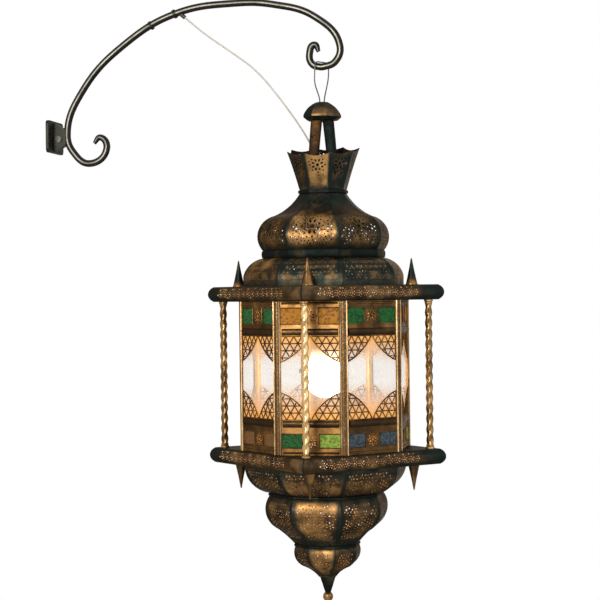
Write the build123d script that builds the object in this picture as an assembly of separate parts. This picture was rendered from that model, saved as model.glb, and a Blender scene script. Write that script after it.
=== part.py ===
from build123d import *
import math
import os

# Pierced brass lantern hanging on a scrolled iron wall bracket.
# Millimetres. The origin is the middle of the wall plate's back face, X points away from the wall, Z is up.

# Wall bracket
PLATE_THICK = 4.0
PLATE_HALF_WIDTH = 32.0
PLATE_HALF_HEIGHT = 23.0
PLATE_CORNER = 6.0
PLATE_HOLE_RADIUS = 3.0
PLATE_HOLE_SPACING = 44.0
BOSS_HALF_HEIGHT = 21.0
BOSS_HALF_WIDTH = 7.0
BOSS_END = 21.0
BOSS_NOSE_HALF_HEIGHT = 10.0
CLAMP_X = 11.0
CLAMP_Z = -3.0
CLAMP_SHANK = 2.5
CLAMP_HEAD = 4.5
CLAMP_HEAD_HEIGHT = 3.0
BAR_RADIUS = 5.0
BAND_RADIUS = 6.4
BAND_LENGTH = 4.0
BAND_GAP = 0.3

# The bar's centreline as (X, Z): lower scroll, boss, arch, a straight seat for the wire, and the curl
HOOK_X = 396.0
HOOK_Z = 87.5
HOOK_SEAT_HALF = 3.0
ARCH_ROUTE = [
    (62.0, -9.5),
    (71.0, -1.5),
    (80.5, -17.5),
    (55.5, -38.5),
    (30.5, -22.0),
    (21.5, 4.0),
    (45.5, 66.5),
    (113.0, 133.5),
    (187.5, 172.0),
    (268.0, 182.0),
    (327.0, 178.0),
    (388.5, 157.0),
    (422.0, 117.0),
    (HOOK_X + HOOK_SEAT_HALF, HOOK_Z),
]
CURL_ROUTE = [
    (HOOK_X - HOOK_SEAT_HALF, HOOK_Z),
    (379.0, 106.5),
    (386.0, 118.5),
    (392.0, 109.0),
]
BAND_PLACES = [(149.0, 156.0, 29.5), (184.0, 170.9, 22.5)]

# Supply cord
CORD_RADIUS = 1.25
GROMMET_RADIUS = 3.0
GROMMET_LENGTH = 12.0
GROMMET_ROOT = (190.0, 0.0, 172.8)
CORD_EXIT = (0.755, 0.0, -0.656)
CORD_FIRST_RUN = 20.0
CORD_BEND_SHARE = 0.45

# Hanging wire, cap and bail
WIRE_RADIUS = 0.9
WIRE_TURN = 35.0
WIRE_GAP = 0.35
WIRE_HALF_SPAN = 13.0
WIRE_HALF_FOOT = 4.2
WIRE_BENDS = [(13.8, 74.0), (WIRE_HALF_FOOT, 42.0), (-WIRE_HALF_FOOT, 42.0), (-14.6, 64.0)]
WIRE_BEND_RADII = [6.0, 6.0, 60.0, 40.0, 4.1, 4.1, 30.0, 30.0]
CAP_TOP = 37.5
CAP_BOTTOM = 12.0
CAP_APOTHEM = 25.0
CAP_SLOPE = [(8.0, CAP_TOP), (18.0, 30.5), (CAP_APOTHEM, 19.5)]
CAP_EDGE = [(CAP_APOTHEM, 16.5), (20.0, CAP_BOTTOM)]
CAP_HOLE = 6.5
CAP_HOLE_FLOOR = 20.0
PIN_RADIUS = 2.0
PIN_Z = 31.5
PIN_LENGTH = 30.0
BAIL_HALF_DEPTH = 6.0
BAIL_HALF_TOP = 15.0
BAIL_HALF_FOOT = 20.0
BAIL_INNER_HALF = 8.5
BAIL_SPRING_Z = -35.0
BAIL_APEX_Z = 8.0
BAIL_BULGE = (6.0, -16.0)

# Eight-sided sheet brass: all radii are apothems, from the axis to the middle of a flat
SIDES = 8
SHEET = 1.0
CURVE_STEPS = 7
NECK_TOP = -86.0
NECK_BOTTOM = -90.0
NECK_APOTHEM = 31.0
NECK_COLLAR_LAP = 2.0
CROWN_FLARE = [(NECK_APOTHEM, NECK_TOP), (38.5, -59.0), (53.5, -14.0)]
CROWN_RIM_Z = -29.0
CROWN_RIM_APOTHEM = 48.0
CROWN_SLANT = 0.15
CROWN_SCALLOP = 8.0
CROWN_HOLLOW_RADIUS = 42.0
CROWN_HOLLOW_START = 36.0
CROWN_HOLLOW_DEPTH = 30.0
DOME_BOTTOM = -170.0
DOME_SHOULDER = [(NECK_APOTHEM, NECK_BOTTOM), (46.0, -109.0), (64.0, -121.0)]
DOME_BELLY = [(64.0, -121.0), (86.5, -144.0), (80.0, DOME_BOTTOM)]
COLLAR_BOTTOM = -180.0
DOME_COLLAR_APOTHEM = 82.0
COLLAR_WIDTH = 4.0
COLLAR_BULGE = 1.0
COLLAR_STEPS = 4
SKIRT_BOTTOM = -219.0
SKIRT_APOTHEM = 106.0
SKIRT_SWELL = [(79.0, COLLAR_BOTTOM), (97.5, -189.5), (SKIRT_APOTHEM, -205.0)]

# Openwork: staggered six-sided openings in every flat
PIERCE_RADIUS = 4.4
PIERCE_PITCH = 14.0
PIERCE_ROW = 12.0
PIERCE_MARGIN = 6.0
PIERCE_DEPTH = 34.0
PIERCE_LEAD = 8.0

# Square galleries
GALLERY_APOTHEM = 119.0
RIM_HEIGHT = 21.0
RIM_NOSE = 6.0
RIM_LIP = 1.6
GALLERY_HOLE_APOTHEM = 98.0
PLATE_SHEET = 1.2
UPPER_GALLERY_TOP = SKIRT_BOTTOM
LOWER_GALLERY_TOP = -446.0
SPIKE_PLACE = 123.0
SPIKE_RADIUS = 8.5
SPIKE_TIP = 1.0
SPIKE_HEIGHT = 37.0
COLUMN_PLACE = 146.0
COLUMN_RADIUS = 4.4
COLUMN_FOOT_RADIUS = 6.2
COLUMN_FOOT_HEIGHT = 5.0

# Glazed body
PANEL_OUTER = 111.0
PANEL_SHEET = 1.0
PANEL_HALF_WIDTH = 44.8
POST_THICK = 1.5
POST_WING = 6.0
BODY_GAP = 0.1
OPENING_TOP = -286.0
OPENING_BOTTOM = -400.0
OPENING_SHOULDER_TOP = -322.0
OPENING_SHOULDER_BOTTOM = -362.0
OPENING_HALF = 40.5
OPENING_BEND_SHARE = 0.44
OPENING_BEND_RISE = 14.0
UPPER_TILE_Z = -260.0
UPPER_TILE_HEIGHT = 22.0
LOWER_TILE_Z = -427.0
LOWER_TILE_HEIGHT = 19.0
TILE_PLACE = 26.0
TILE_WIDTH = 29.0
GLASS_THICK = 2.0
GLASS_LAP = 2.0

# Face names run round from the right-hand side; the door is on the rear left
FACE_ANGLES = {"d": 0, "e": 45, "f": 90, "g": 135, "h": 180, "a": 225, "b": 270, "c": 315}
DOOR_FACE = "g"
GLASS_FACES = "abcdefh"
UPPER_GLASS = dict(zip(GLASS_FACES, ["green", "amber", "green", "amber", "green", "amber", "amber"]))
LOWER_GLASS = dict(zip(GLASS_FACES, ["amber", "mixed", "blue", "mixed", "amber", "blue", "mixed"]))

# Door, hinge and latch, in the door face's own frame: along the face, and out from the axis
DOOR_GAP = 0.3
DOOR_LATCH_EDGE = -40.0
DOOR_HINGE_EDGE = 41.0
DOOR_END_GAP = 1.0
DOOR_TILE_WIDTH = 23.0
DOOR_TILE_PLACE = 23.5
DOOR_OPENING_HALF = 35.5
HINGE_ALONG = 45.0
HINGE_OUT = 115.2
HINGE_LEVELS = [-300.0, -386.0]
KNUCKLE_RADIUS = 2.2
KNUCKLE_LENGTH = 10.0
HINGE_PIN_RADIUS = 1.0
HINGE_PIN_SPARE = 2.0
POST_LEAF_EDGE = 41.6
DOOR_LEAF_EDGE = 37.0
LEAF_THICK = 0.9
RUNNING_GAP = 0.05
LATCH_Z = -343.0
LATCH_PIVOT = -43.5
LATCH_STUD = -36.0
LATCH_PLATE_INNER = 114.6
LATCH_PLATE_THICK = 1.0
LATCH_HALF_WIDTH = 3.2
LATCH_REACH = 3.4
RIVET_RADIUS = 1.4
RIVET_HEAD = 2.6
RIVET_HEAD_HEIGHT = 1.0
STUD_RADIUS = 1.3
STUD_LENGTH = 3.6
STUD_SLOT = 3.4

# Lamp
GLAND_PLACE = (-6.0, 14.0)
GLAND_RADIUS = 4.0
GLAND_TIP_RADIUS = 2.2
GLAND_TOP = -72.0
GLAND_BOTTOM = -95.0
LEAD_RADIUS = 1.5
BRIDGE_HALF_LENGTH = 107.0
BRIDGE_HALF_WIDTH = 8.0
BRIDGE_THICK = 2.0
HOLDER_RADIUS = 19.0
HOLDER_TOP = -241.0
HOLDER_BOTTOM = -292.0
HOLDER_BORE = 13.7
HOLDER_BORE_TOP = -268.0
NIPPLE_RADIUS = 5.0
NIPPLE_TOP = -233.0
BULB_CAP_RADIUS = 13.0
BULB_NECK_Z = -296.0
BULB_CENTRE_Z = -346.0
BULB_RADIUS = 30.0
BULB_NECK_RADIUS = 14.0
BULB_WALL = 1.0
BULB_MEET = (0.8, 0.6)

# Bowls and finial below the lower gallery
BOWL_COLLAR_HEIGHT = 4.0
UPPER_BOWL_TOP = LOWER_GALLERY_TOP - RIM_HEIGHT
UPPER_BOWL_BOTTOM = -506.0
UPPER_BOWL_SIDE = [(107.0, UPPER_BOWL_TOP), (101.5, -488.0), (76.0, UPPER_BOWL_BOTTOM)]
UPPER_COLLAR_APOTHEM = 77.0
MIDDLE_BOWL_TOP = UPPER_BOWL_BOTTOM - BOWL_COLLAR_HEIGHT
MIDDLE_BOWL_BOTTOM = -578.0
MIDDLE_BOWL_BELLY = [(75.5, MIDDLE_BOWL_TOP), (81.0, -529.0), (63.5, -557.5)]
MIDDLE_BOWL_NECK = [(63.5, -557.5), (52.0, -568.0), (43.0, MIDDLE_BOWL_BOTTOM)]
LOWER_COLLAR_APOTHEM = 44.0
LOWER_BOWL_TOP = MIDDLE_BOWL_BOTTOM - BOWL_COLLAR_HEIGHT
LOWER_BOWL_BOTTOM = -626.0
LOWER_BOWL_BELLY = [(42.5, LOWER_BOWL_TOP), (43.0, -597.0), (30.0, -611.0)]
LOWER_BOWL_NECK = [(30.0, -611.0), (19.0, -618.0), (11.5, LOWER_BOWL_BOTTOM)]
NECK_STEPS = 4
CONE_BOTTOM = -648.0
CONE_BASE_RADIUS = 11.0
CONE_TIP_RADIUS = 4.0
BALL_BOTTOM = -661.0
BALL_FLAT = 0.6

HALF_TURN_OF_SIDE = 180.0 / SIDES
UPPER_GALLERY_BOTTOM = UPPER_GALLERY_TOP - RIM_HEIGHT
PLATE_APOTHEM = GALLERY_APOTHEM - RIM_NOSE
BODY_TOP = UPPER_GALLERY_BOTTOM
BODY_BOTTOM = LOWER_GALLERY_TOP


def write(name, shape):
    """Write one node's solids to its own file."""
    export_step(shape, os.path.join("parts", name + ".step"))


def hang(shape):
    """Move a piece built on the lantern's own axis to its place under the hook."""
    return Pos(HOOK_X, 0, 0) * shape


# Curves
def arc_points(start, through, finish, steps=CURVE_STEPS):
    """Even points along the arc through three (radius, height) points, both ends included."""
    arc = ThreePointArc(start, through, finish)
    points = [arc @ (step / steps) for step in range(steps + 1)]
    return [(point.X, point.Y) for point in points]


def tangent_at(before, here, after):
    """Direction at a point of the circle through it and its two neighbours, all in the XZ plane."""
    arc = ThreePointArc(before, here, after)
    return arc % arc.param_at_point(Vector(*here))


def biarc(start, start_way, finish, finish_way):
    """Two arcs that leave start and reach finish along the given directions and join smoothly."""
    chord = finish - start
    ways = start_way + finish_way
    spread = 2.0 * (1.0 - start_way.dot(finish_way))
    reach = chord.dot(ways)
    if spread < 1e-6:
        step = chord.length * chord.length / (4.0 * chord.dot(finish_way))
    else:
        step = (math.sqrt(reach * reach + spread * chord.dot(chord)) - reach) / spread
    middle = (start + finish + (start_way - finish_way) * step) * 0.5
    first = TangentArc(start, middle, tangent=start_way)
    return [first, TangentArc(middle, finish, tangent=first % 1)]


def smooth_route(places, first_way=None, last_way=None):
    """A smooth chain of arcs through (X, Z) places, with its end directions given or worked out."""
    spots = [Vector(x, 0, z) for x, z in places]
    ways = [tangent_at(*spots[i - 1:i + 2]) for i in range(1, len(spots) - 1)]
    first_chord = (spots[1] - spots[0]).normalized()
    last_chord = (spots[-1] - spots[-2]).normalized()
    first_way = first_way or first_chord * (2.0 * first_chord.dot(ways[0])) - ways[0]
    last_way = last_way or last_chord * (2.0 * last_chord.dot(ways[-1])) - ways[-1]
    ways = [first_way] + ways + [last_way]
    arcs = []
    for i in range(len(spots) - 1):
        arcs += biarc(spots[i], ways[i], spots[i + 1], ways[i + 1])
    return arcs


def bar_path():
    """The bar's whole centreline, straight where the wire hangs."""
    seat_way = Vector(-1, 0, 0)
    arch = smooth_route(ARCH_ROUTE, last_way=seat_way)
    curl = smooth_route(CURL_ROUTE, first_way=seat_way)
    return Wire(arch + [Line(arch[-1] @ 1, curl[0] @ 0)] + curl)


def tube_along(path, radius):
    """A round bar along a path."""
    start = Plane(origin=path @ 0, z_dir=path % 0)
    return sweep(start * Circle(radius), path=path)


# Flat-sided turned forms
def facet_turn(section, sides=SIDES, first_face=0.0):
    """Turn a closed section of (apothem, height) points round the axis into flat panels."""
    half = math.pi / sides
    faces = []
    for i in range(len(section)):
        upper = section[i]
        lower = section[(i + 1) % len(section)]
        for side in range(sides):
            middle = math.radians(first_face) + side * 2.0 * half
            corners = []
            for (apothem, height), way in ((upper, -1), (upper, 1), (lower, 1), (lower, -1)):
                radius = apothem / math.cos(half)
                angle = middle + way * half
                corner = Vector(radius * math.cos(angle), radius * math.sin(angle), height)
                if all((corner - other).length > 1e-6 for other in corners):
                    corners.append(corner)
            if len(corners) > 2:
                faces.append(Face(Wire.make_polygon(corners)))
    solid = Solid(Shell(faces))
    return solid if solid.volume > 0 else solid.fix()


def inset(profile, wall):
    """The inner line of a sheet whose outer line runs from top to bottom."""
    inner = []
    last = len(profile) - 1
    for i, (radius, height) in enumerate(profile):
        before = profile[max(i - 1, 0)]
        after = profile[min(i + 1, last)]
        along_radius = after[0] - before[0]
        along_height = after[1] - before[1]
        length = math.hypot(along_radius, along_height)
        inward = along_height / length
        if i in (0, last):
            inner.append((radius - wall / max(abs(inward), 0.5), height))
        else:
            inner.append((radius + wall * inward, height - wall * along_radius / length))
    return inner


def sheet_turn(profile, wall=SHEET):
    """An open eight-sided sheet form from its outer line, listed from top to bottom."""
    return facet_turn(profile + inset(profile, wall)[::-1])


def prism(apothem, top, bottom, sides=SIDES, first_face=0.0):
    """A flat-sided block between two heights."""
    return facet_turn([(apothem, top), (apothem, bottom), (0, bottom), (0, top)], sides, first_face)


def face_plane(angle, out):
    """Plane of one body face: its x runs along the face, its y up and its z out from the axis."""
    turn = math.radians(angle)
    outward = Vector(math.cos(turn), math.sin(turn), 0)
    return Plane(origin=outward * out, x_dir=(-math.sin(turn), math.cos(turn), 0), z_dir=outward)


def apothem_at(line, level):
    """Apothem of a form at one height, from its outer line listed from top to bottom."""
    for (upper_apothem, upper_z), (lower_apothem, lower_z) in zip(line, line[1:]):
        if lower_z <= level <= upper_z:
            share = (upper_z - level) / (upper_z - lower_z)
            return upper_apothem + share * (lower_apothem - upper_apothem)
    return line[-1][0]


def pierced(form, line):
    """Cut staggered openings through every flat of a form, along one stretch of its outer line."""
    height = line[0][1] - line[-1][1]
    rows = int((height - 2 * PIERCE_MARGIN) / PIERCE_ROW) + 1
    first = (line[0][1] + line[-1][1] + (rows - 1) * PIERCE_ROW) / 2
    cutters = []
    for row in range(rows):
        level = first - row * PIERCE_ROW
        apothem = apothem_at(line, level)
        reach = apothem * math.tan(math.radians(HALF_TURN_OF_SIDE)) - PIERCE_MARGIN
        start = apothem + PIERCE_LEAD - PIERCE_DEPTH
        most = int(2 * reach / PIERCE_PITCH)
        for half_step in range(-most, most + 1):
            if half_step % 2 == row % 2:
                spot = Pos(half_step * PIERCE_PITCH / 2, level)
                cutters.append((start, spot * RegularPolygon(PIERCE_RADIUS, 6)))
    for angle in FACE_ANGLES.values():
        blocks = [extrude(face_plane(angle, start) * hole, PIERCE_DEPTH) for start, hole in cutters]
        form = form - blocks
    return form


# Wall bracket
def wall_plate():
    """Flat plate with an open screw hole at each side of the boss."""
    outline = RectangleRounded(2 * PLATE_HALF_WIDTH, 2 * PLATE_HALF_HEIGHT, PLATE_CORNER)
    holes = [Pos(way * PLATE_HOLE_SPACING / 2, 0) * Circle(PLATE_HOLE_RADIUS) for way in (-1, 1)]
    back = Plane(origin=(0, 0, 0), x_dir=(0, 1, 0), z_dir=(1, 0, 0))
    return extrude(back * (outline - holes), PLATE_THICK)


def bracket_boss(bar):
    """Tapered lug that saddles the bar."""
    outline = Polyline(
        (PLATE_THICK, BOSS_HALF_HEIGHT),
        (BOSS_END, BOSS_NOSE_HALF_HEIGHT),
        (BOSS_END, -BOSS_NOSE_HALF_HEIGHT),
        (PLATE_THICK, -BOSS_HALF_HEIGHT),
        close=True,
    )
    lug = extrude(Plane.XZ * make_face(outline), BOSS_HALF_WIDTH, both=True)
    hole = clamp_line() * Cylinder(CLAMP_SHANK + RUNNING_GAP, 4 * BOSS_HALF_WIDTH)
    return lug - bar - hole


def clamp_line():
    """Place of the clamp screw, with its axis across the boss."""
    return Pos(CLAMP_X, 0, CLAMP_Z) * Rot(90, 0, 0)


def clamp_screw():
    """Screw through the boss with a round head on the near side and a hexagon nut behind."""
    shank = clamp_line() * Cylinder(CLAMP_SHANK, 2 * BOSS_HALF_WIDTH)
    offset = BOSS_HALF_WIDTH + CLAMP_HEAD_HEIGHT / 2
    head = clamp_line() * Pos(0, 0, offset) * Cylinder(CLAMP_HEAD, CLAMP_HEAD_HEIGHT)
    hexagon = Pos(0, 0, -BOSS_HALF_WIDTH) * RegularPolygon(CLAMP_HEAD, 6)
    nut = clamp_line() * extrude(hexagon, -CLAMP_HEAD_HEIGHT)
    return shank + head + nut


def bar_bands():
    """Two thin bands round the bar."""
    bands = []
    for x, z, rise in BAND_PLACES:
        ring = Cylinder(BAND_RADIUS, BAND_LENGTH) - Cylinder(BAR_RADIUS + BAND_GAP, BAND_LENGTH)
        bands.append(Pos(x, 0, z) * Rot(0, 90 - rise, 0) * ring)
    return Compound(children=bands)


# Supply cord
def cord_start():
    """Middle of the grommet's mouth."""
    return Vector(*GROMMET_ROOT) + Vector(*CORD_EXIT).normalized() * GROMMET_LENGTH


def cord_route():
    """The cord's points from the grommet to the gland in the crown."""
    gland_x = HOOK_X + GLAND_PLACE[0]
    gland_y = GLAND_PLACE[1]
    return [
        cord_start(),
        cord_start() + Vector(*CORD_EXIT).normalized() * CORD_FIRST_RUN,
        Vector(233.0, 0, 136.5),
        Vector(265.0, 1, 114.0),
        Vector(303.0, 3, 86.0),
        Vector(338.0, 7, 41.5),
        Vector(366.5, 11.5, -0.5),
        Vector(383.5, 13.5, -33.0),
        Vector(gland_x, gland_y, -56.0),
        Vector(gland_x, gland_y, GLAND_TOP),
    ]


def supply_cord():
    """Round cord of straight runs and wide arcs; prints its radii and compares its volume."""
    points = cord_route()
    radii = []
    for before, here, after in zip(points, points[1:], points[2:]):
        turn = (here - before).get_angle(after - here)
        shorter = min((here - before).length, (after - here).length)
        radii.append(CORD_BEND_SHARE * shorter / math.tan(math.radians(turn / 2)))
    print("cord bend radii", [round(radius, 1) for radius in radii])
    path = FilletPolyline(*points, radius=radii)
    cord = tube_along(path, CORD_RADIUS)
    plain = math.pi * CORD_RADIUS ** 2 * path.length
    print("cord length", round(path.length, 1))
    print("cord volume over section times length", round(cord.volume / plain, 4))
    return cord


def cord_grommet(bar):
    """Short bush on the underside of the bar where the cord comes out."""
    way = Vector(*CORD_EXIT).normalized()
    mouth = Plane(origin=GROMMET_ROOT, z_dir=way)
    return extrude(mouth * Circle(GROMMET_RADIUS), GROMMET_LENGTH) - bar


# Hanging wire, cap and bail
def hanging_wire():
    """Closed loop over the hook and round the pin in the cap, turned to cross the bar slantwise."""
    over = HOOK_Z + BAR_RADIUS + WIRE_RADIUS + WIRE_GAP
    under = PIN_Z - PIN_RADIUS - WIRE_RADIUS - WIRE_GAP
    top = [(-WIRE_HALF_SPAN, over), (WIRE_HALF_SPAN, over)]
    foot = [(WIRE_HALF_FOOT, under), (-WIRE_HALF_FOOT, under)]
    corners = top + WIRE_BENDS[:2] + foot + WIRE_BENDS[2:]
    spots = [Vector(across, 0, z) for across, z in corners]
    path = FilletPolyline(*spots, radius=WIRE_BEND_RADII, close=True)
    return Rot(0, 0, 90 - WIRE_TURN) * tube_along(path, WIRE_RADIUS)


def pin_hole(radius):
    """Round bar across the cap, square to the wire's loop."""
    return Rot(0, 0, -WIRE_TURN) * Pos(0, 0, PIN_Z) * Rot(0, 90, 0) * Cylinder(radius, PIN_LENGTH)


def handle_cap():
    """Faceted mushroom with a well for the wire and a cross hole for its pin."""
    section = [(0, CAP_TOP)] + arc_points(*CAP_SLOPE) + CAP_EDGE + [(0, CAP_BOTTOM)]
    well_height = CAP_TOP - CAP_HOLE_FLOOR
    well = Pos(0, 0, CAP_HOLE_FLOOR + well_height / 2) * Cylinder(CAP_HOLE, well_height + 0.2)
    return facet_turn(section) - well - pin_hole(PIN_RADIUS + RUNNING_GAP)


def handle_bail():
    """Two splayed legs that meet in a pointed arch under the cap."""
    outline = Polyline(
        (-BAIL_HALF_TOP, CAP_BOTTOM),
        (BAIL_HALF_TOP, CAP_BOTTOM),
        (BAIL_HALF_FOOT, NECK_TOP),
        (-BAIL_HALF_FOOT, NECK_TOP),
        close=True,
    )
    apex = (0, BAIL_APEX_Z)
    side = BAIL_INNER_HALF
    below = NECK_TOP - 1
    opening = Curve() + [
        Line((-side, below), (side, below)),
        Line((side, below), (side, BAIL_SPRING_Z)),
        ThreePointArc((side, BAIL_SPRING_Z), BAIL_BULGE, apex),
        ThreePointArc(apex, (-BAIL_BULGE[0], BAIL_BULGE[1]), (-side, BAIL_SPRING_Z)),
        Line((-side, BAIL_SPRING_Z), (-side, below)),
    ]
    arch = make_face(outline) - make_face(opening)
    return extrude(Plane.XZ * arch, BAIL_HALF_DEPTH, both=True)


# Crown, domes and bowls
def crown():
    """Flared cup whose rim slants and is hollowed between its eight tips."""
    cup = sheet_turn(arc_points(*CROWN_FLARE)[::-1])
    level = Plane(origin=(0, 0, CROWN_RIM_Z), z_dir=(0, -CROWN_SLANT, 1))
    cup = split(cup, bisect_by=level, keep=Keep.BOTTOM)
    for angle in FACE_ANGLES.values():
        rim_y = CROWN_RIM_APOTHEM * math.sin(math.radians(angle))
        centre_z = CROWN_RIM_Z + CROWN_SLANT * rim_y + CROWN_HOLLOW_RADIUS - CROWN_SCALLOP
        hollow = face_plane(angle, CROWN_HOLLOW_START) * Pos(0, centre_z, 0) * Circle(CROWN_HOLLOW_RADIUS)
        cup = cup - extrude(hollow, CROWN_HOLLOW_DEPTH)
    return cup


def neck_collar():
    """Eight-sided disc between crown and dome, with the gland's hole."""
    hole = Pos(*GLAND_PLACE, (NECK_TOP + NECK_BOTTOM) / 2)
    disc = prism(NECK_APOTHEM + NECK_COLLAR_LAP, NECK_TOP, NECK_BOTTOM)
    return disc - hole * Cylinder(GLAND_RADIUS + RUNNING_GAP, 2 * (NECK_TOP - NECK_BOTTOM))


def upper_dome():
    """Onion dome: a hollow shoulder that swells into a full belly."""
    belly = arc_points(*DOME_BELLY)
    return pierced(sheet_turn(arc_points(*DOME_SHOULDER) + belly[1:]), belly)


def collar(apothem, top, bottom):
    """Rounded eight-sided ring."""
    edge = apothem - COLLAR_BULGE
    inner = apothem - COLLAR_WIDTH
    outer = arc_points((edge, top), (apothem, (top + bottom) / 2), (edge, bottom), COLLAR_STEPS)
    return facet_turn(outer + [(inner, bottom), (inner, top)])


def skirt():
    """Lower dome that spreads to the gallery."""
    return sheet_turn(arc_points(*SKIRT_SWELL) + [(SKIRT_APOTHEM, SKIRT_BOTTOM)])


def upper_bowl():
    """Wide shallow bowl under the gallery."""
    line = arc_points(*UPPER_BOWL_SIDE)
    return pierced(sheet_turn(line), line)


def middle_bowl():
    """Full bowl that draws in to a neck."""
    belly = arc_points(*MIDDLE_BOWL_BELLY)
    return pierced(sheet_turn(belly + arc_points(*MIDDLE_BOWL_NECK, NECK_STEPS)[1:]), belly)


def lower_bowl():
    """Small bowl that draws in to the finial."""
    belly = arc_points(*LOWER_BOWL_BELLY)
    return pierced(sheet_turn(belly + arc_points(*LOWER_BOWL_NECK, NECK_STEPS)[1:]), belly)


def finial_cone():
    """Tapered stem under the lowest bowl."""
    height = LOWER_BOWL_BOTTOM - CONE_BOTTOM
    return Pos(0, 0, (LOWER_BOWL_BOTTOM + CONE_BOTTOM) / 2) * Cone(CONE_TIP_RADIUS, CONE_BASE_RADIUS, height)


def finial_ball():
    """Turned brass ball with a flat where it meets the stem."""
    radius = (CONE_BOTTOM - BALL_BOTTOM) / 2 + BALL_FLAT
    ball = Pos(0, 0, BALL_BOTTOM + radius) * Sphere(radius)
    return split(ball, bisect_by=Plane(origin=(0, 0, CONE_BOTTOM)), keep=Keep.BOTTOM)


# Galleries
def gallery_rim(top):
    """Bull-nose rim of bent sheet round all four sides."""
    bottom = top - RIM_HEIGHT
    middle = (top + bottom) / 2
    outer = arc_points((PLATE_APOTHEM, top), (GALLERY_APOTHEM, middle), (PLATE_APOTHEM, bottom))
    nose = (GALLERY_APOTHEM - PLATE_SHEET, middle)
    inner = arc_points((PLATE_APOTHEM, bottom + RIM_LIP), nose, (PLATE_APOTHEM, top - RIM_LIP))
    return facet_turn(outer + inner, sides=4, first_face=45.0)


def gallery_plate(top, hole_apothem):
    """Square sheet with an eight-sided hole."""
    plate = prism(PLATE_APOTHEM - BODY_GAP, top, top - PLATE_SHEET, sides=4, first_face=45.0)
    return plate - prism(hole_apothem, top + 1, top - PLATE_SHEET - 1)


def spikes(base_z, way):
    """Four cones over the gallery's corners, pointing up or down."""
    cone = Cone(SPIKE_RADIUS, SPIKE_TIP, SPIKE_HEIGHT)
    if way < 0:
        cone = Rot(180, 0, 0) * cone
    middle = base_z + way * SPIKE_HEIGHT / 2
    places = [Rot(0, 0, turn) * Pos(SPIKE_PLACE, 0, middle) for turn in (0, 90, 180, 270)]
    return Compound(children=[hang(place * cone) for place in places])


def column(turn):
    """Round corner column with a foot and a head."""
    height = BODY_TOP - BODY_BOTTOM
    shaft = Pos(0, 0, (BODY_TOP + BODY_BOTTOM) / 2) * Cylinder(COLUMN_RADIUS, height)
    for end in (BODY_TOP - COLUMN_FOOT_HEIGHT / 2, BODY_BOTTOM + COLUMN_FOOT_HEIGHT / 2):
        shaft += Pos(0, 0, end) * Cylinder(COLUMN_FOOT_RADIUS, COLUMN_FOOT_HEIGHT)
    return Rot(0, 0, turn) * Pos(COLUMN_PLACE, 0, 0) * shaft


# Glazed body
def corner_post(angle):
    """Angle strip that laps the edges of two panels."""
    inner = (PANEL_OUTER + BODY_GAP) / math.cos(math.radians(HALF_TURN_OF_SIDE))
    outer = (PANEL_OUTER + BODY_GAP + POST_THICK) / math.cos(math.radians(HALF_TURN_OF_SIDE))
    slope = math.radians(90 + HALF_TURN_OF_SIDE)
    wing = Vector(math.cos(slope), math.sin(slope)) * POST_WING
    mirrored = Vector(wing.X, -wing.Y)
    tip_out = Vector(outer, 0)
    tip_in = Vector(inner, 0)
    corners = [tip_out, tip_out + wing, tip_in + wing, tip_in, tip_in + mirrored, tip_out + mirrored]
    strip = extrude(make_face(Polyline(*corners, close=True)), BODY_TOP - BODY_BOTTOM)
    return Rot(0, 0, angle) * Pos(0, 0, BODY_BOTTOM) * strip


def pointed_opening(half):
    """Clear opening of a fret: straight sides with a point above and below."""
    bend_top = (half * OPENING_BEND_SHARE, OPENING_SHOULDER_TOP + OPENING_BEND_RISE)
    bend_bottom = (half * OPENING_BEND_SHARE, OPENING_SHOULDER_BOTTOM - OPENING_BEND_RISE)
    right_top = (half, OPENING_SHOULDER_TOP)
    right_bottom = (half, OPENING_SHOULDER_BOTTOM)
    left_top = (-half, OPENING_SHOULDER_TOP)
    left_bottom = (-half, OPENING_SHOULDER_BOTTOM)
    top = (0, OPENING_TOP)
    bottom = (0, OPENING_BOTTOM)
    return make_face(Curve() + [
        Line(right_bottom, right_top),
        ThreePointArc(right_top, bend_top, top),
        ThreePointArc(top, (-bend_top[0], bend_top[1]), left_top),
        Line(left_top, left_bottom),
        ThreePointArc(left_bottom, (-bend_bottom[0], bend_bottom[1]), bottom),
        ThreePointArc(bottom, bend_bottom, right_bottom),
    ])


def fret_outline(left, right, top, bottom, half_opening, tile_place, tile_width):
    """Flat shape of a fret panel with its clear opening and four windows."""
    shape = Pos((left + right) / 2, (top + bottom) / 2) * Rectangle(right - left, top - bottom)
    shape -= pointed_opening(half_opening)
    for z, height in ((UPPER_TILE_Z, UPPER_TILE_HEIGHT), (LOWER_TILE_Z, LOWER_TILE_HEIGHT)):
        for way in (-1, 1):
            shape -= Pos(way * tile_place, z) * Rectangle(tile_width, height)
    return shape


def fret_panel(angle):
    """Pierced brass panel of one fixed face."""
    half = PANEL_HALF_WIDTH
    outline = fret_outline(-half, half, BODY_TOP, BODY_BOTTOM, OPENING_HALF, TILE_PLACE, TILE_WIDTH)
    return extrude(face_plane(angle, PANEL_OUTER - PANEL_SHEET) * outline, PANEL_SHEET)


def glass_sheet(angle, outer, along, z, width, height):
    """Flat glass behind a window, lapping its edges."""
    outline = Pos(along, z) * Rectangle(width, height)
    return extrude(face_plane(angle, outer - GLASS_THICK) * outline, GLASS_THICK)


def clear_pane(angle, outer, half):
    """Clear glass behind the pointed opening."""
    middle = (OPENING_TOP + OPENING_BOTTOM) / 2
    height = OPENING_TOP - OPENING_BOTTOM + 2 * GLASS_LAP
    return glass_sheet(angle, outer, 0, middle, 2 * half, height)


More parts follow.
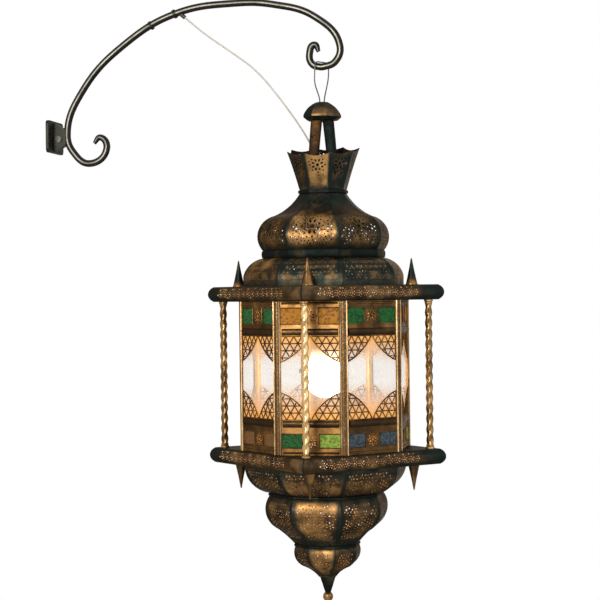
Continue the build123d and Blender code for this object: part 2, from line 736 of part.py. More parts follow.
def coloured_tiles():
    """Small panes of every fixed face, sorted by colour."""
    tiles = {"green": [], "amber": [], "lime": [], "blue": []}
    outer = PANEL_OUTER - PANEL_SHEET - BODY_GAP
    width = TILE_WIDTH + 2 * GLASS_LAP
    for face, colour in UPPER_GLASS.items():
        for way in (-1, 1):
            height = UPPER_TILE_HEIGHT + 2 * GLASS_LAP
            pane = glass_sheet(FACE_ANGLES[face], outer, way * TILE_PLACE, UPPER_TILE_Z, width, height)
            tiles[colour].append(hang(pane))
    for face, colour in LOWER_GLASS.items():
        for way, mixed_colour in ((-1, "green"), (1, "lime")):
            height = LOWER_TILE_HEIGHT + 2 * GLASS_LAP
            pane = glass_sheet(FACE_ANGLES[face], outer, way * TILE_PLACE, LOWER_TILE_Z, width, height)
            tiles[mixed_colour if colour == "mixed" else colour].append(hang(pane))
    return tiles


# Door, in the frame of its own face
DOOR_ANGLE = FACE_ANGLES[DOOR_FACE]
POST_OUTER = PANEL_OUTER + BODY_GAP + POST_THICK
DOOR_INNER = POST_OUTER + DOOR_GAP
DOOR_OUTER = DOOR_INNER + PANEL_SHEET


def door_fret():
    """Pierced brass leaf that closes over the posts."""
    top = BODY_TOP - DOOR_END_GAP
    bottom = BODY_BOTTOM + DOOR_END_GAP
    outline = fret_outline(
        DOOR_LATCH_EDGE, DOOR_HINGE_EDGE, top, bottom, DOOR_OPENING_HALF, DOOR_TILE_PLACE, DOOR_TILE_WIDTH
    )
    return extrude(face_plane(DOOR_ANGLE, DOOR_INNER) * outline, PANEL_SHEET)


def door_tiles():
    """Four small panes of the door."""
    outer = DOOR_INNER - BODY_GAP
    panes = []
    for z, height in ((UPPER_TILE_Z, UPPER_TILE_HEIGHT), (LOWER_TILE_Z, LOWER_TILE_HEIGHT)):
        for way in (-1, 1):
            size = (DOOR_TILE_WIDTH + 2 * GLASS_LAP, height + 2 * GLASS_LAP)
            panes.append(hang(glass_sheet(DOOR_ANGLE, outer, way * DOOR_TILE_PLACE, z, *size)))
    return Compound(children=panes)


def hinge_spot(z):
    """Place of a hinge's axis at one height."""
    turn = math.radians(DOOR_ANGLE)
    x = HINGE_OUT * math.cos(turn) - HINGE_ALONG * math.sin(turn)
    y = HINGE_OUT * math.sin(turn) + HINGE_ALONG * math.cos(turn)
    return Pos(x, y, z)


def knuckle(z, edge, inner):
    """Barrel round the hinge pin with a flat leaf in the door face's frame."""
    leaf_shape = Pos((edge + HINGE_ALONG) / 2, z) * Rectangle(HINGE_ALONG - edge, KNUCKLE_LENGTH)
    leaf = extrude(face_plane(DOOR_ANGLE, inner) * leaf_shape, LEAF_THICK)
    barrel = hinge_spot(z) * Cylinder(KNUCKLE_RADIUS, KNUCKLE_LENGTH)
    bore = hinge_spot(z) * Cylinder(HINGE_PIN_RADIUS + RUNNING_GAP, KNUCKLE_LENGTH + 1)
    return barrel + leaf - bore


def post_knuckles():
    """Lower barrel of each hinge, fixed to the post."""
    inner = POST_OUTER + RUNNING_GAP
    lower = [level - KNUCKLE_LENGTH / 2 - BODY_GAP for level in HINGE_LEVELS]
    return Compound(children=[hang(knuckle(z, POST_LEAF_EDGE, inner)) for z in lower])


def door_knuckles():
    """Upper barrel of each hinge, fixed to the door."""
    inner = DOOR_OUTER + RUNNING_GAP
    upper = [level + KNUCKLE_LENGTH / 2 + BODY_GAP for level in HINGE_LEVELS]
    return Compound(children=[hang(knuckle(z, DOOR_LEAF_EDGE, inner)) for z in upper])


def hinge_pins():
    """A pin through the two barrels of each hinge."""
    length = 2 * KNUCKLE_LENGTH + HINGE_PIN_SPARE
    return Compound(children=[hang(hinge_spot(z) * Cylinder(HINGE_PIN_RADIUS, length)) for z in HINGE_LEVELS])


def latch_hook():
    """Flat hook with a round eye and a slot that drops over the stud."""
    arm_end = LATCH_STUD + LATCH_REACH
    arm = Pos((LATCH_PIVOT + arm_end) / 2, LATCH_Z) * Rectangle(arm_end - LATCH_PIVOT, 2 * LATCH_HALF_WIDTH)
    shape = arm + Pos(LATCH_PIVOT, LATCH_Z) * Circle(LATCH_HALF_WIDTH)
    reach = LATCH_STUD - LATCH_PIVOT
    ring = Circle(reach + STUD_SLOT / 2) - Circle(reach - STUD_SLOT / 2)
    mouth = Pos(reach, -LATCH_HALF_WIDTH) * Rectangle(reach, 2 * LATCH_HALF_WIDTH)
    shape -= Pos(LATCH_PIVOT, LATCH_Z) * (ring & mouth)
    shape -= Pos(LATCH_STUD, LATCH_Z) * Circle(STUD_SLOT / 2)
    shape -= Pos(LATCH_PIVOT, LATCH_Z) * Circle(RIVET_RADIUS + RUNNING_GAP)
    return extrude(face_plane(DOOR_ANGLE, LATCH_PLATE_INNER) * shape, LATCH_PLATE_THICK)


def latch_rivet():
    """Shouldered rivet on the post that the hook turns on."""
    spot = Pos(LATCH_PIVOT, LATCH_Z)
    seat = POST_OUTER + RUNNING_GAP
    plate_outer = LATCH_PLATE_INNER + LATCH_PLATE_THICK
    steps = [
        (RIVET_HEAD, seat, LATCH_PLATE_INNER - RUNNING_GAP),
        (RIVET_RADIUS, seat, plate_outer + RIVET_HEAD_HEIGHT),
        (RIVET_HEAD, plate_outer + RUNNING_GAP, plate_outer + RIVET_HEAD_HEIGHT),
    ]
    rivet = None
    for radius, inner, outer in steps:
        step = extrude(face_plane(DOOR_ANGLE, inner) * spot * Circle(radius), outer - inner)
        rivet = step if rivet is None else rivet + step
    return rivet


def latch_stud():
    """Stud on the door that the hook drops over."""
    spot = Pos(LATCH_STUD, LATCH_Z)
    return extrude(face_plane(DOOR_ANGLE, DOOR_OUTER + RUNNING_GAP) * spot * Circle(STUD_RADIUS), STUD_LENGTH)


# Lamp
def cord_gland():
    """Tapered sleeve that grips the cord in the neck disc."""
    low = Pos(*GLAND_PLACE, (GLAND_BOTTOM + NECK_TOP) / 2) * Cylinder(GLAND_RADIUS, NECK_TOP - GLAND_BOTTOM)
    height = GLAND_TOP - NECK_TOP
    return low + Pos(*GLAND_PLACE, NECK_TOP + height / 2) * Cone(GLAND_RADIUS, GLAND_TIP_RADIUS, height)


def inner_lead():
    """Lead from the gland straight down to the lamp holder."""
    height = GLAND_BOTTOM - HOLDER_TOP
    return Pos(*GLAND_PLACE, (GLAND_BOTTOM + HOLDER_TOP) / 2) * Cylinder(LEAD_RADIUS, height)


def lamp_bridge():
    """Strap across the upper gallery that carries the lamp holder."""
    seat = UPPER_GALLERY_BOTTOM + PLATE_SHEET
    strap = Box(2 * BRIDGE_HALF_LENGTH, 2 * BRIDGE_HALF_WIDTH, BRIDGE_THICK)
    strap = Pos(0, 0, seat + BRIDGE_THICK / 2) * strap
    return strap - Pos(0, 0, seat) * Cylinder(NIPPLE_RADIUS + RUNNING_GAP, 4 * BRIDGE_THICK)


def lamp_holder():
    """Holder cup with its threaded nipple."""
    body = Pos(0, 0, (HOLDER_TOP + HOLDER_BOTTOM) / 2) * Cylinder(HOLDER_RADIUS, HOLDER_TOP - HOLDER_BOTTOM)
    bore_height = HOLDER_BORE_TOP - HOLDER_BOTTOM
    bore = Pos(0, 0, (HOLDER_BORE_TOP + HOLDER_BOTTOM) / 2) * Cylinder(HOLDER_BORE, bore_height)
    nipple = Pos(0, 0, (NIPPLE_TOP + HOLDER_TOP) / 2) * Cylinder(NIPPLE_RADIUS, NIPPLE_TOP - HOLDER_TOP)
    return body - bore + nipple


def bulb_cap():
    """Screw cap of the bulb, seated in the holder."""
    height = HOLDER_BORE_TOP - BULB_NECK_Z
    return Pos(0, 0, (HOLDER_BORE_TOP + BULB_NECK_Z) / 2) * Cylinder(BULB_CAP_RADIUS, height)


def bulb_form(shrink):
    """Round bulb drawn in to its neck, made smaller all over by shrink."""
    radius = BULB_RADIUS - shrink
    neck = BULB_NECK_RADIUS - shrink
    meet = (radius * BULB_MEET[0], BULB_CENTRE_Z + radius * BULB_MEET[1])
    outline = Curve() + [
        Line((0, BULB_NECK_Z), (neck, BULB_NECK_Z)),
        Line((neck, BULB_NECK_Z), meet),
        ThreePointArc(meet, (radius, BULB_CENTRE_Z), (0, BULB_CENTRE_Z - radius)),
        Line((0, BULB_CENTRE_Z - radius), (0, BULB_NECK_Z)),
    ]
    return revolve(Plane.XZ * make_face(outline), Axis.Z)


def build_bracket():
    """Write the iron bracket, the cord and what is fixed to the bar."""
    bar = tube_along(bar_path(), BAR_RADIUS)
    write("scroll_bar", bar)
    write("wall_plate", wall_plate())
    write("bracket_boss", bracket_boss(bar))
    write("clamp_screw", clamp_screw())
    write("bar_bands", bar_bands())
    write("cord_grommet", cord_grommet(bar))
    write("supply_cord", supply_cord())


def build_head():
    """Write the handle, the crown and the domes."""
    write("hanging_wire", hang(hanging_wire()))
    write("handle_cap", hang(handle_cap()))
    write("handle_pin", hang(pin_hole(PIN_RADIUS)))
    write("handle_bail", hang(handle_bail()))
    write("crown", hang(crown()))
    write("neck_collar", hang(neck_collar()))
    write("upper_dome", hang(upper_dome()))
    write("dome_collar", hang(collar(DOME_COLLAR_APOTHEM, DOME_BOTTOM, COLLAR_BOTTOM)))
    write("skirt", hang(skirt()))


def build_galleries():
    """Write both galleries with their spikes and columns."""
    hole = GALLERY_HOLE_APOTHEM
    write("upper_gallery_rim", hang(gallery_rim(UPPER_GALLERY_TOP)))
    write("upper_gallery_deck", hang(gallery_plate(UPPER_GALLERY_TOP, hole)))
    write("upper_gallery_soffit", hang(gallery_plate(UPPER_GALLERY_BOTTOM + PLATE_SHEET, hole)))
    write("lower_gallery_rim", hang(gallery_rim(LOWER_GALLERY_TOP)))
    write("lower_gallery_deck", hang(gallery_plate(LOWER_GALLERY_TOP, hole)))
    write("lower_gallery_soffit", hang(gallery_plate(UPPER_BOWL_TOP + PLATE_SHEET, hole)))
    write("upper_spikes", spikes(UPPER_GALLERY_TOP, 1))
    write("lower_spikes", spikes(UPPER_BOWL_TOP, -1))
    write("columns", Compound(children=[hang(column(turn)) for turn in (0, 90, 180, 270)]))


def build_body():
    """Write the posts, the fixed frets and their glass."""
    post_turns = [angle + HALF_TURN_OF_SIDE for angle in FACE_ANGLES.values()]
    write("corner_posts", Compound(children=[hang(corner_post(turn)) for turn in post_turns]))
    outer = PANEL_OUTER - PANEL_SHEET - BODY_GAP
    panes = []
    for face, angle in FACE_ANGLES.items():
        if face != DOOR_FACE:
            write("fret_panel_" + face, hang(fret_panel(angle)))
            panes.append(hang(clear_pane(angle, outer, OPENING_HALF + GLASS_LAP)))
    write("clear_panes", Compound(children=panes))
    for colour, tiles in coloured_tiles().items():
        write(colour + "_tiles", Compound(children=tiles))


def build_door():
    """Write the door with its hinge and latch."""
    write("door_fret", hang(door_fret()))
    write("door_pane", hang(clear_pane(DOOR_ANGLE, DOOR_INNER - BODY_GAP, DOOR_OPENING_HALF + GLASS_LAP)))
    write("door_tiles", door_tiles())
    write("door_knuckles", door_knuckles())
    write("post_knuckles", post_knuckles())
    write("hinge_pins", hinge_pins())
    write("latch_hook", hang(latch_hook()))
    write("latch_rivet", hang(latch_rivet()))
    write("latch_stud", hang(latch_stud()))


def build_lamp():
    """Write the lamp and its lead."""
    write("cord_gland", hang(cord_gland()))
    write("inner_lead", hang(inner_lead()))
    write("lamp_bridge", hang(lamp_bridge()))
    write("lamp_holder", hang(lamp_holder()))
    write("bulb_cap", hang(bulb_cap()))
    write("bulb_glass", hang(bulb_form(0) - bulb_form(BULB_WALL)))


def build_bowls():
    """Write the bowls, their collars and the finial."""
    write("upper_bowl", hang(upper_bowl()))
    write("upper_bowl_collar", hang(collar(UPPER_COLLAR_APOTHEM, UPPER_BOWL_BOTTOM, MIDDLE_BOWL_TOP)))
    write("middle_bowl", hang(middle_bowl()))
    write("lower_bowl_collar", hang(collar(LOWER_COLLAR_APOTHEM, MIDDLE_BOWL_BOTTOM, LOWER_BOWL_TOP)))
    write("lower_bowl", hang(lower_bowl()))
    write("finial_cone", hang(finial_cone()))
    write("finial_ball", hang(finial_ball()))


def main():
    """Write every node."""
    os.makedirs("parts", exist_ok=True)
    build_bracket()
    build_head()
    build_galleries()
    build_body()
    build_door()
    build_lamp()
    build_bowls()


main()
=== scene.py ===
"""Looks of a pierced brass lantern with coloured glass, hung on a scrolled iron wall bracket.

Sizes are in millimetres in the classes and turn into metres where a mesh is made.
"""
import logging
import math
from dataclasses import dataclass
from enum import Enum
from random import Random
from typing import Callable, Optional, Sequence

import bpy
import numpy as np
from mathutils import Matrix, Vector
from mathutils.geometry import delaunay_2d_cdt


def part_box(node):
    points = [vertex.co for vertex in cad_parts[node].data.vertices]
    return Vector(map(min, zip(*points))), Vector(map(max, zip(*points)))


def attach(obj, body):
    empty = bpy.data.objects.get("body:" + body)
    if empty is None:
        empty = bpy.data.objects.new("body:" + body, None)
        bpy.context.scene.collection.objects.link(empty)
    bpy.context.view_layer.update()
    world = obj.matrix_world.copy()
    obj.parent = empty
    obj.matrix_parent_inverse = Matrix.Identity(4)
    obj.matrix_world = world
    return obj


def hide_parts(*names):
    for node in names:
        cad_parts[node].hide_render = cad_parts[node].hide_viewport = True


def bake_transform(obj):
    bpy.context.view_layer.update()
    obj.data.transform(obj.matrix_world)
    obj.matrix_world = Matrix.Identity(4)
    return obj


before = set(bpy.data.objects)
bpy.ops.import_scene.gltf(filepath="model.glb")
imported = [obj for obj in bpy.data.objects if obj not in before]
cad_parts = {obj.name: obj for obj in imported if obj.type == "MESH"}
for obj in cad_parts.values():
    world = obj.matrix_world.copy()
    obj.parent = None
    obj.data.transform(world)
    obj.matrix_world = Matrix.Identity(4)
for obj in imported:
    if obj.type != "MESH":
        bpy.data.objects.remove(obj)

LOG = logging.getLogger("lantern")
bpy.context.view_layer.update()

Point = tuple[float, float]
Spot = tuple[float, float, float]
Colour = tuple[float, float, float]
Face = tuple[int, ...]
Mark = float | Sequence[float]
Place = Callable[[float, float, float], Vector]
Field = Callable[[float, float], float]
Thickness = Callable[[float], float]
Socket = bpy.types.NodeSocket
Value = Socket | float | Sequence[float]
Material = bpy.types.Material
Finishes = dict[str, Material]

MM = 0.001
SIDES = 8
EIGHTH = 45
FACE_ANGLES = {face: step * EIGHTH for step, face in enumerate("defghabc")}
DOOR_FACE = "g"
CORNERS = (0, 90, 180, 270)
NEAR_CORNER = 270
SHEET = 1.0
WELD = 0.01
POINT_RADIUS = 0.01
BLACK = (0.0, 0.0, 0.0)
WHITE = (1.0, 1.0, 1.0)


def middle_of(node: str) -> Vector:
    """Middle of a CAD node's box, in millimetres."""
    low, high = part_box(node)
    return (low + high) / 2 / MM


def top_of(node: str) -> float:
    """Highest level of a CAD node, in millimetres."""
    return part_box(node)[1].z / MM


def foot_of(node: str) -> float:
    """Lowest level of a CAD node, in millimetres."""
    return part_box(node)[0].z / MM


AXIS = Vector((middle_of("finial_ball").x, middle_of("finial_ball").y, 0.0))


# Lines
class Line(Enum):
    """How a smooth line follows its places."""

    THROUGH = "BEZIER"
    TOWARDS = "NURBS"


def arc(start: Point, through: Point, finish: Point, steps: int = 10) -> list[Point]:
    """Even points along the circular arc through three points.

    Args:
        start: First point.
        through: A point between the ends.
        finish: Last point.
        steps: Number of equal steps.

    Returns:
        The points, both ends included.
    """
    a, b, c = (complex(*point) for point in (start, through, finish))
    ratio = (c - a) / (b - a)
    centre = a + (b - a) * (ratio - abs(ratio) ** 2) / (ratio - ratio.conjugate())
    first, mid, last = (math.atan2((p - centre).imag, (p - centre).real) for p in (a, b, c))
    turn = (last - first) % math.tau
    if (mid - first) % math.tau > turn:
        turn -= math.tau
    radius = abs(a - centre)
    angles = [first + turn * i / steps for i in range(steps + 1)]
    return [(centre.real + radius * math.cos(angle), centre.imag + radius * math.sin(angle))
            for angle in angles]


def ring(centre: Point, radius: float, count: int) -> list[Point]:
    """Corners of a regular polygon, counter-clockwise."""
    angles = [math.tau * i / count for i in range(count)]
    return [(centre[0] + radius * math.cos(angle), centre[1] + radius * math.sin(angle)) for angle in angles]


def smooth_line(places: Sequence[Vector], per_span: int, kind: Line = Line.THROUGH) -> list[Vector]:
    """Points that Blender puts along a smooth line with no bevel.

    Args:
        places: Places that shape the line.
        per_span: Points on each span between two places.
        kind: Whether it passes through the places or is drawn towards them.

    Returns:
        Points from the first place to the last.
    """
    curve = bpy.data.curves.new("path", "CURVE")
    curve.dimensions = "3D"
    curve.resolution_u = per_span
    spline = curve.splines.new(kind.value)
    if kind is Line.THROUGH:
        spline.bezier_points.add(len(places) - 1)
        for knot, place in zip(spline.bezier_points, places):
            knot.co = place
            knot.handle_left_type = knot.handle_right_type = "AUTO"
    else:
        spline.points.add(len(places) - 1)
        for knot, place in zip(spline.points, places):
            knot.co = (*place, 1.0)
        spline.order_u = 3
        spline.use_endpoint_u = True
    holder = bpy.data.objects.new("path_holder", curve)
    bpy.context.scene.collection.objects.link(holder)
    bpy.context.view_layer.update()
    mesh = bpy.data.meshes.new_from_object(holder)
    points = [vertex.co.copy() for vertex in mesh.vertices]
    bpy.data.objects.remove(holder)
    bpy.data.meshes.remove(mesh)
    bpy.data.curves.remove(curve)
    return points


# Meshes
def skin(rings: int, count: int, closed: bool = False, flip: bool = False) -> list[Face]:
    """Faces between rings of points in a row, with both ends capped.

    Args:
        rings: Number of rings.
        count: Points in each ring.
        closed: Whether the last ring joins the first, which leaves no ends.
        flip: Whether the faces look the other way.

    Returns:
        The faces, as indices of the points.
    """
    faces: list[Face] = []
    for i in range(rings if closed else rings - 1):
        here, there = i * count, (i + 1) % rings * count
        for j in range(count):
            k = (j + 1) % count
            faces.append((here + j, here + k, there + k, there + j))
    if not closed:
        faces += [tuple(reversed(range(count))), tuple(range((rings - 1) * count, rings * count))]
    return [face[::-1] for face in faces] if flip else faces


class MeshMaker:
    """Gathers vertices and faces in millimetres and turns them into one Blender object."""

    def __init__(self) -> None:
        """Start with nothing."""
        self.verts: list[Vector] = []
        self.faces: list[Face] = []
        self.marks: dict[str, list[float]] = {"seam": [], "gold": [], "inside": []}

    def add(self, verts: Sequence[Vector], faces: Sequence[Face], move: Matrix = Matrix.Identity(4),
            seam: Mark = 0.0, gold: Mark = 0.0, inside: Mark = 0.0) -> None:
        """Add a copy of some geometry.

        Args:
            verts: Its points.
            faces: Its faces, as indices of those points.
            move: Placing matrix of the copy.
            seam: How near each point lies to a seam or edge, from 0 to 1.
            gold: Painted light and shade of each point: 1 leans to a painted highlight in gold, -1 to painted
                shade.
            inside: 1 on the inner side, which takes a painted lamp glow.
        """
        first = len(self.verts)
        self.verts += [move @ vert for vert in verts]
        self.faces += [tuple(first + index for index in face) for face in faces]
        for name, mark in (("seam", seam), ("gold", gold), ("inside", inside)):
            self.marks[name] += [mark] * len(verts) if isinstance(mark, float) else list(mark)

    def tube(self, path: Sequence[Vector], radius: float | Thickness, sides: int, closed: bool = False,
             lobes: int = 0, depth: float = 0.0, twist: float = 0.0, gold: float = 0.0) -> None:
        """Add a round or lobed bar along a path.

        Args:
            path: Middle line.
            radius: Radius, or the radius at a share of the length from 0 to 1.
            sides: Points round the section.
            closed: Whether the path joins its own start.
            lobes: Number of swellings round the section.
            depth: How far the lobes stand out, as a share of the radius.
            twist: Turns of the section over the length.
            gold: Painted light and shade of the bar: above 0 a painted highlight towards gold, below 0
                painted shade.
        """
        count = len(path)
        verts = []
        normal = None
        for i, spot in enumerate(path):
            ahead = path[(i + 1) % count] if closed else path[min(i + 1, count - 1)]
            behind = path[i - 1] if closed or i else path[0]
            way = (ahead - behind).normalized()
            if normal is None:
                normal = way.orthogonal().normalized()
            normal = (normal - way * normal.dot(way)).normalized()
            side = way.cross(normal)
            share = i / max(count - 1, 1)
            thick = radius(share) if callable(radius) else radius
            for j in range(sides):
                angle = math.tau * j / sides
                reach = thick * (1.0 + depth * math.cos(lobes * angle))
                turned = angle + math.tau * twist * share
                verts.append(spot + normal * (reach * math.cos(turned)) + side * (reach * math.sin(turned)))
        self.add(verts, skin(count, sides, closed), gold=gold)

    def turned(self, profile: Sequence[Point], sides: int, move: Matrix,
               gold: Optional[Sequence[float]] = None) -> None:
        """Add a solid of revolution.

        Args:
            profile: (radius, height) points from one end to the other.
            sides: Points round it.
            move: Placing matrix.
            gold: Painted light and shade of each point of the profile: 1 leans to a painted highlight in
                gold, -1 to painted shade.
        """
        verts = []
        for radius, height in profile:
            verts += [Vector((x, y, height)) for x, y in ring((0.0, 0.0), max(radius, POINT_RADIUS), sides)]
        falling = profile[-1][1] <= profile[0][1]
        shading = gold or [0.0] * len(profile)
        self.add(verts, skin(len(profile), sides, flip=falling), move,
                 gold=[value for value in shading for _ in range(sides)])

    def make(self, name: str, sharp: float, weld: float = 0.0) -> bpy.types.Object:
        """Make the object.

        Args:
            name: Its name.
            sharp: Edges that turn by more than this many degrees stay crisp.
            weld: Points closer than this become one.

        Returns:
            The new object, linked to the scene.
        """
        mesh = bpy.data.meshes.new(name)
        mesh.from_pydata([vert * MM for vert in self.verts], [], self.faces)
        for mark, values in self.marks.items():
            layer = mesh.attributes.new(mark, "FLOAT", "POINT")
            layer.data.foreach_set("value", np.array(values, np.float32))
        piece = bpy.data.objects.new(name, mesh)
        bpy.context.scene.collection.objects.link(piece)
        if weld:
            piece.modifiers.new("weld", "WELD").merge_threshold = weld * MM
            shaped = piece.evaluated_get(bpy.context.evaluated_depsgraph_get())
            piece.data = bpy.data.meshes.new_from_object(shaped)
            piece.modifiers.clear()
            bpy.data.meshes.remove(mesh)
            piece.data.name = name
        piece.data.polygons.foreach_set("use_smooth", [True] * len(piece.data.polygons))
        piece.data.set_sharp_from_angle(angle=math.radians(sharp))
        return piece

    def stand_for(self, node: str, name: str, finish: Material, slot: str, sharp: float,
                  weld: float = 0.0, body: str = "lantern") -> None:
        """Make the piece, dress it, fix it to its body and let it stand for a CAD node.

        Args:
            node: The CAD node.
            name: Name of the piece.
            finish: Its material.
            slot: The record's material slot; not used.
            sharp: Edges that turn by more than this many degrees stay crisp.
            weld: Points closer than this become one.
            body: CAD body that it rides on.
        """
        piece = self.make(name, sharp, weld)
        piece.data.materials.append(finish)
        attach(piece, body)
        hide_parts(node)
        LOG.info("%s on %s, %d faces", name, body, len(piece.data.polygons))


def dress(finishes: Finishes, **looks: Sequence[str]) -> None:
    """Give shown CAD nodes their materials.

    Args:
        finishes: Every material by its name.
        looks: The nodes that take each named finish.
    """
    for name, nodes in looks.items():
        for node in nodes:
            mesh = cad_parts[node].data
            mesh.materials.clear()
            mesh.materials.append(finishes[name])
            LOG.info("%s dressed in %s", node, name)


def lantern_place(turn: float = 0.0, out: float = 0.0, height: float = 0.0) -> Matrix:
    """Placing matrix on the lantern: turned about its axis, then moved out and up.

    Args:
        turn: Degrees about the axis.
        out: Distance from the axis.
        height: Level.

    Returns:
        The matrix, in millimetres.
    """
    about = Matrix.Rotation(math.radians(turn), 4, "Z")
    return Matrix.Translation(AXIS) @ about @ Matrix.Translation((out, 0.0, height))


# Pierced sheet
class PiercedSheet:
    """A flat outline with holes, cut into triangles and bent into place with its thickness."""

    inside_only = 1
    nearness = 1e-5

    def __init__(self, outline: Sequence[Point], holes: Sequence[Sequence[Point]],
                 rungs: Sequence[float] = (), studs: Sequence[Point] = ()) -> None:
        """Cut the outline into triangles.

        Args:
            outline: Outer corners, counter-clockwise.
            holes: Corner lists of the holes, counter-clockwise, none touching.
            rungs: Heights at which lines run right across, so that the sheet can bend there.
            studs: More points for an even net of triangles.
        """
        points = [Vector(point) for point in outline]
        rings = [list(range(len(points)))]
        for hole in holes:
            rings.append(list(range(len(points), len(points) + len(hole))))
            points += [Vector(point) for point in hole]
        edges = []
        low = min(point[0] for point in outline)
        high = max(point[0] for point in outline)
        for rung in rungs:
            edges.append((len(points), len(points) + 1))
            points += [Vector((low, rung)), Vector((high, rung))]
        points += [Vector(stud) for stud in studs]
        cut = delaunay_2d_cdt(points, edges, rings, self.inside_only, self.nearness, True)
        spots, _, faces, _, _, sources = cut
        kept = [face for face, source in zip(faces, sources) if list(source) == [0]]
        used = sorted({index for face in kept for index in face})
        renumber = {old: new for new, old in enumerate(used)}
        self.spots: list[Point] = [(spots[old].x, spots[old].y) for old in used]
        self.faces: list[Face] = [tuple(renumber[index] for index in face) for face in kept]

    def border(self) -> list[tuple[int, int]]:
        """Edges of one triangle only, in that triangle's order."""
        edges = dict.fromkeys(edge for face in self.faces for edge in zip(face, face[1:] + face[:1]))
        return [(a, b) for a, b in edges if (b, a) not in edges]

    def solid(self, place: Place, open_edge: Callable[[Point, Point], bool] = lambda first, second: False,
              seam: Field = lambda across, up: 0.0) -> "BentSheet":
        """Bend the sheet into place and give it its thickness.

        Args:
            place: Gives the point for (across, up, depth below the outer face).
            open_edge: Says which edges of the border join a neighbouring sheet, where no wall is made.
            seam: Nearness of a spot to a seam or edge, from 0 to 1.

        Returns:
            The bent sheet.
        """
        count = len(self.spots)
        verts = [place(x, y, depth) for depth in (0.0, SHEET) for x, y in self.spots]
        faces: list[Face] = list(self.faces)
        faces += [tuple(count + index for index in reversed(face)) for face in self.faces]
        for a, b in self.border():
            if not open_edge(self.spots[a], self.spots[b]):
                faces.append((b, a, count + a, count + b))
        marks = [seam(x, y) for x, y in self.spots]
        return BentSheet(verts, faces, marks + marks, [0.0] * count + [1.0] * count)


@dataclass
class BentSheet:
    """A sheet with its thickness, ready to be repeated round the lantern."""

    verts: list[Vector]
    faces: list[Face]
    seam: list[float]
    inside: list[float]

    def put(self, maker: MeshMaker, move: Matrix, gold: Mark = 0.0) -> None:
        """Add one copy of the sheet.

        Args:
            maker: Mesh that it goes to.
            move: Placing matrix.
            gold: Painted light and shade of the copy: 1 leans to a painted highlight in gold, -1 to painted
                shade.
        """
        maker.add(self.verts, self.faces, move, self.seam, gold, self.inside)


class Piercing:
    """Holes on a flat field, none running into another, with the unevenness of hand punching.

    A dot strays by a share of the pitch, its size is a share of the given radius, and a share of the dots
    is missed. What belongs to a flower is a share of the flower's radius.
    """

    stray = 0.16
    missed = 0.14
    least_dot = 0.72
    most_dot = 1.2
    eye = 0.24
    leaf_place = 0.68
    leaf_length = 0.56
    leaf_width = 0.3
    bead_place = 1.12
    bead = 0.13
    leaf = ((-0.5, 0.0), (-0.2, -0.42), (0.2, -0.5), (0.5, 0.0), (0.2, 0.5), (-0.2, 0.42))
    leaf_reach = 0.36

    def __init__(self, room: Field, web: float = 0.8) -> None:
        """Start an empty field.

        Args:
            room: Distance from a spot to the nearest edge of the field.
            web: Least metal left between two holes.
        """
        self.room = room
        self.web = web
        self.outlines: list[list[Point]] = []
        self.taken: list[Spot] = []

    def cut(self, centre: Point, reach: float, outline: list[Point]) -> None:
        """Cut one hole if there is room for it.

        Args:
            centre: Middle of the hole.
            reach: Radius of the circle round it.
            outline: Its corners.
        """
        if self.room(*centre) < reach + self.web:
            return
        for x, y, other in self.taken:
            if math.hypot(centre[0] - x, centre[1] - y) < reach + other + self.web:
                return
        self.taken.append((*centre, reach))
        self.outlines.append(outline)

    def dot(self, centre: Point, radius: float, corners: int = 7) -> None:
        """Cut a punched round hole."""
        self.cut(centre, radius, ring(centre, radius, corners))

    def petal(self, centre: Point, length: float, width: float, way: float) -> None:
        """Cut a pointed leaf.

        Args:
            centre: Middle of the leaf.
            length: From tip to tip.
            width: Greatest width.
            way: Direction of its length, in radians.
        """
        turned = []
        for along, across in self.leaf:
            x, y = along * length, across * width
            turned.append((centre[0] + x * math.cos(way) - y * math.sin(way),
                           centre[1] + x * math.sin(way) + y * math.cos(way)))
        self.cut(centre, max(self.leaf_reach * length, width / 2), turned)

    def rosette(self, centre: Point, radius: float, petals: int = 8) -> None:
        """Cut a flower: an eye with a ring of leaves and a ring of dots.

        Args:
            centre: Its middle.
            radius: Outer radius of the ring of leaves.
            petals: Number of leaves.
        """
        self.dot(centre, self.eye * radius, corners=8)
        for i in range(petals):
            angle = math.tau * (i + 0.5) / petals
            reach = self.leaf_place * radius
            spot = (centre[0] + reach * math.cos(angle), centre[1] + reach * math.sin(angle))
            self.petal(spot, self.leaf_length * radius, self.leaf_width * radius, angle)
        for spot in ring(centre, self.bead_place * radius, petals):
            self.dot(spot, self.bead * radius)

    def dots(self, low: Point, high: Point, pitch: float, radius: float, chance: Random) -> None:
        """Fill what is left of a rectangle with staggered round holes.

        Args:
            low: Its lower left corner.
            high: Its upper right corner.
            pitch: Distance between holes.
            radius: Radius of a hole.
            chance: Source of the small unevenness of hand punching.
        """
        rise = pitch * math.sqrt(3) / 2
        count = int((high[0] - low[0]) / pitch) // 2 + 1
        for row in range(int((high[1] - low[1]) / rise) + 1):
            shift = pitch / 2 if row % 2 else 0.0
            for step in range(-count, count + 1):
                x = (low[0] + high[0]) / 2 + shift + (step + chance.uniform(-self.stray, self.stray)) * pitch
                y = low[1] + row * rise + chance.uniform(-self.stray, self.stray) * pitch
                size = radius * chance.uniform(self.least_dot, self.most_dot)
                if chance.random() > self.missed:
                    self.dot((x, y), size)


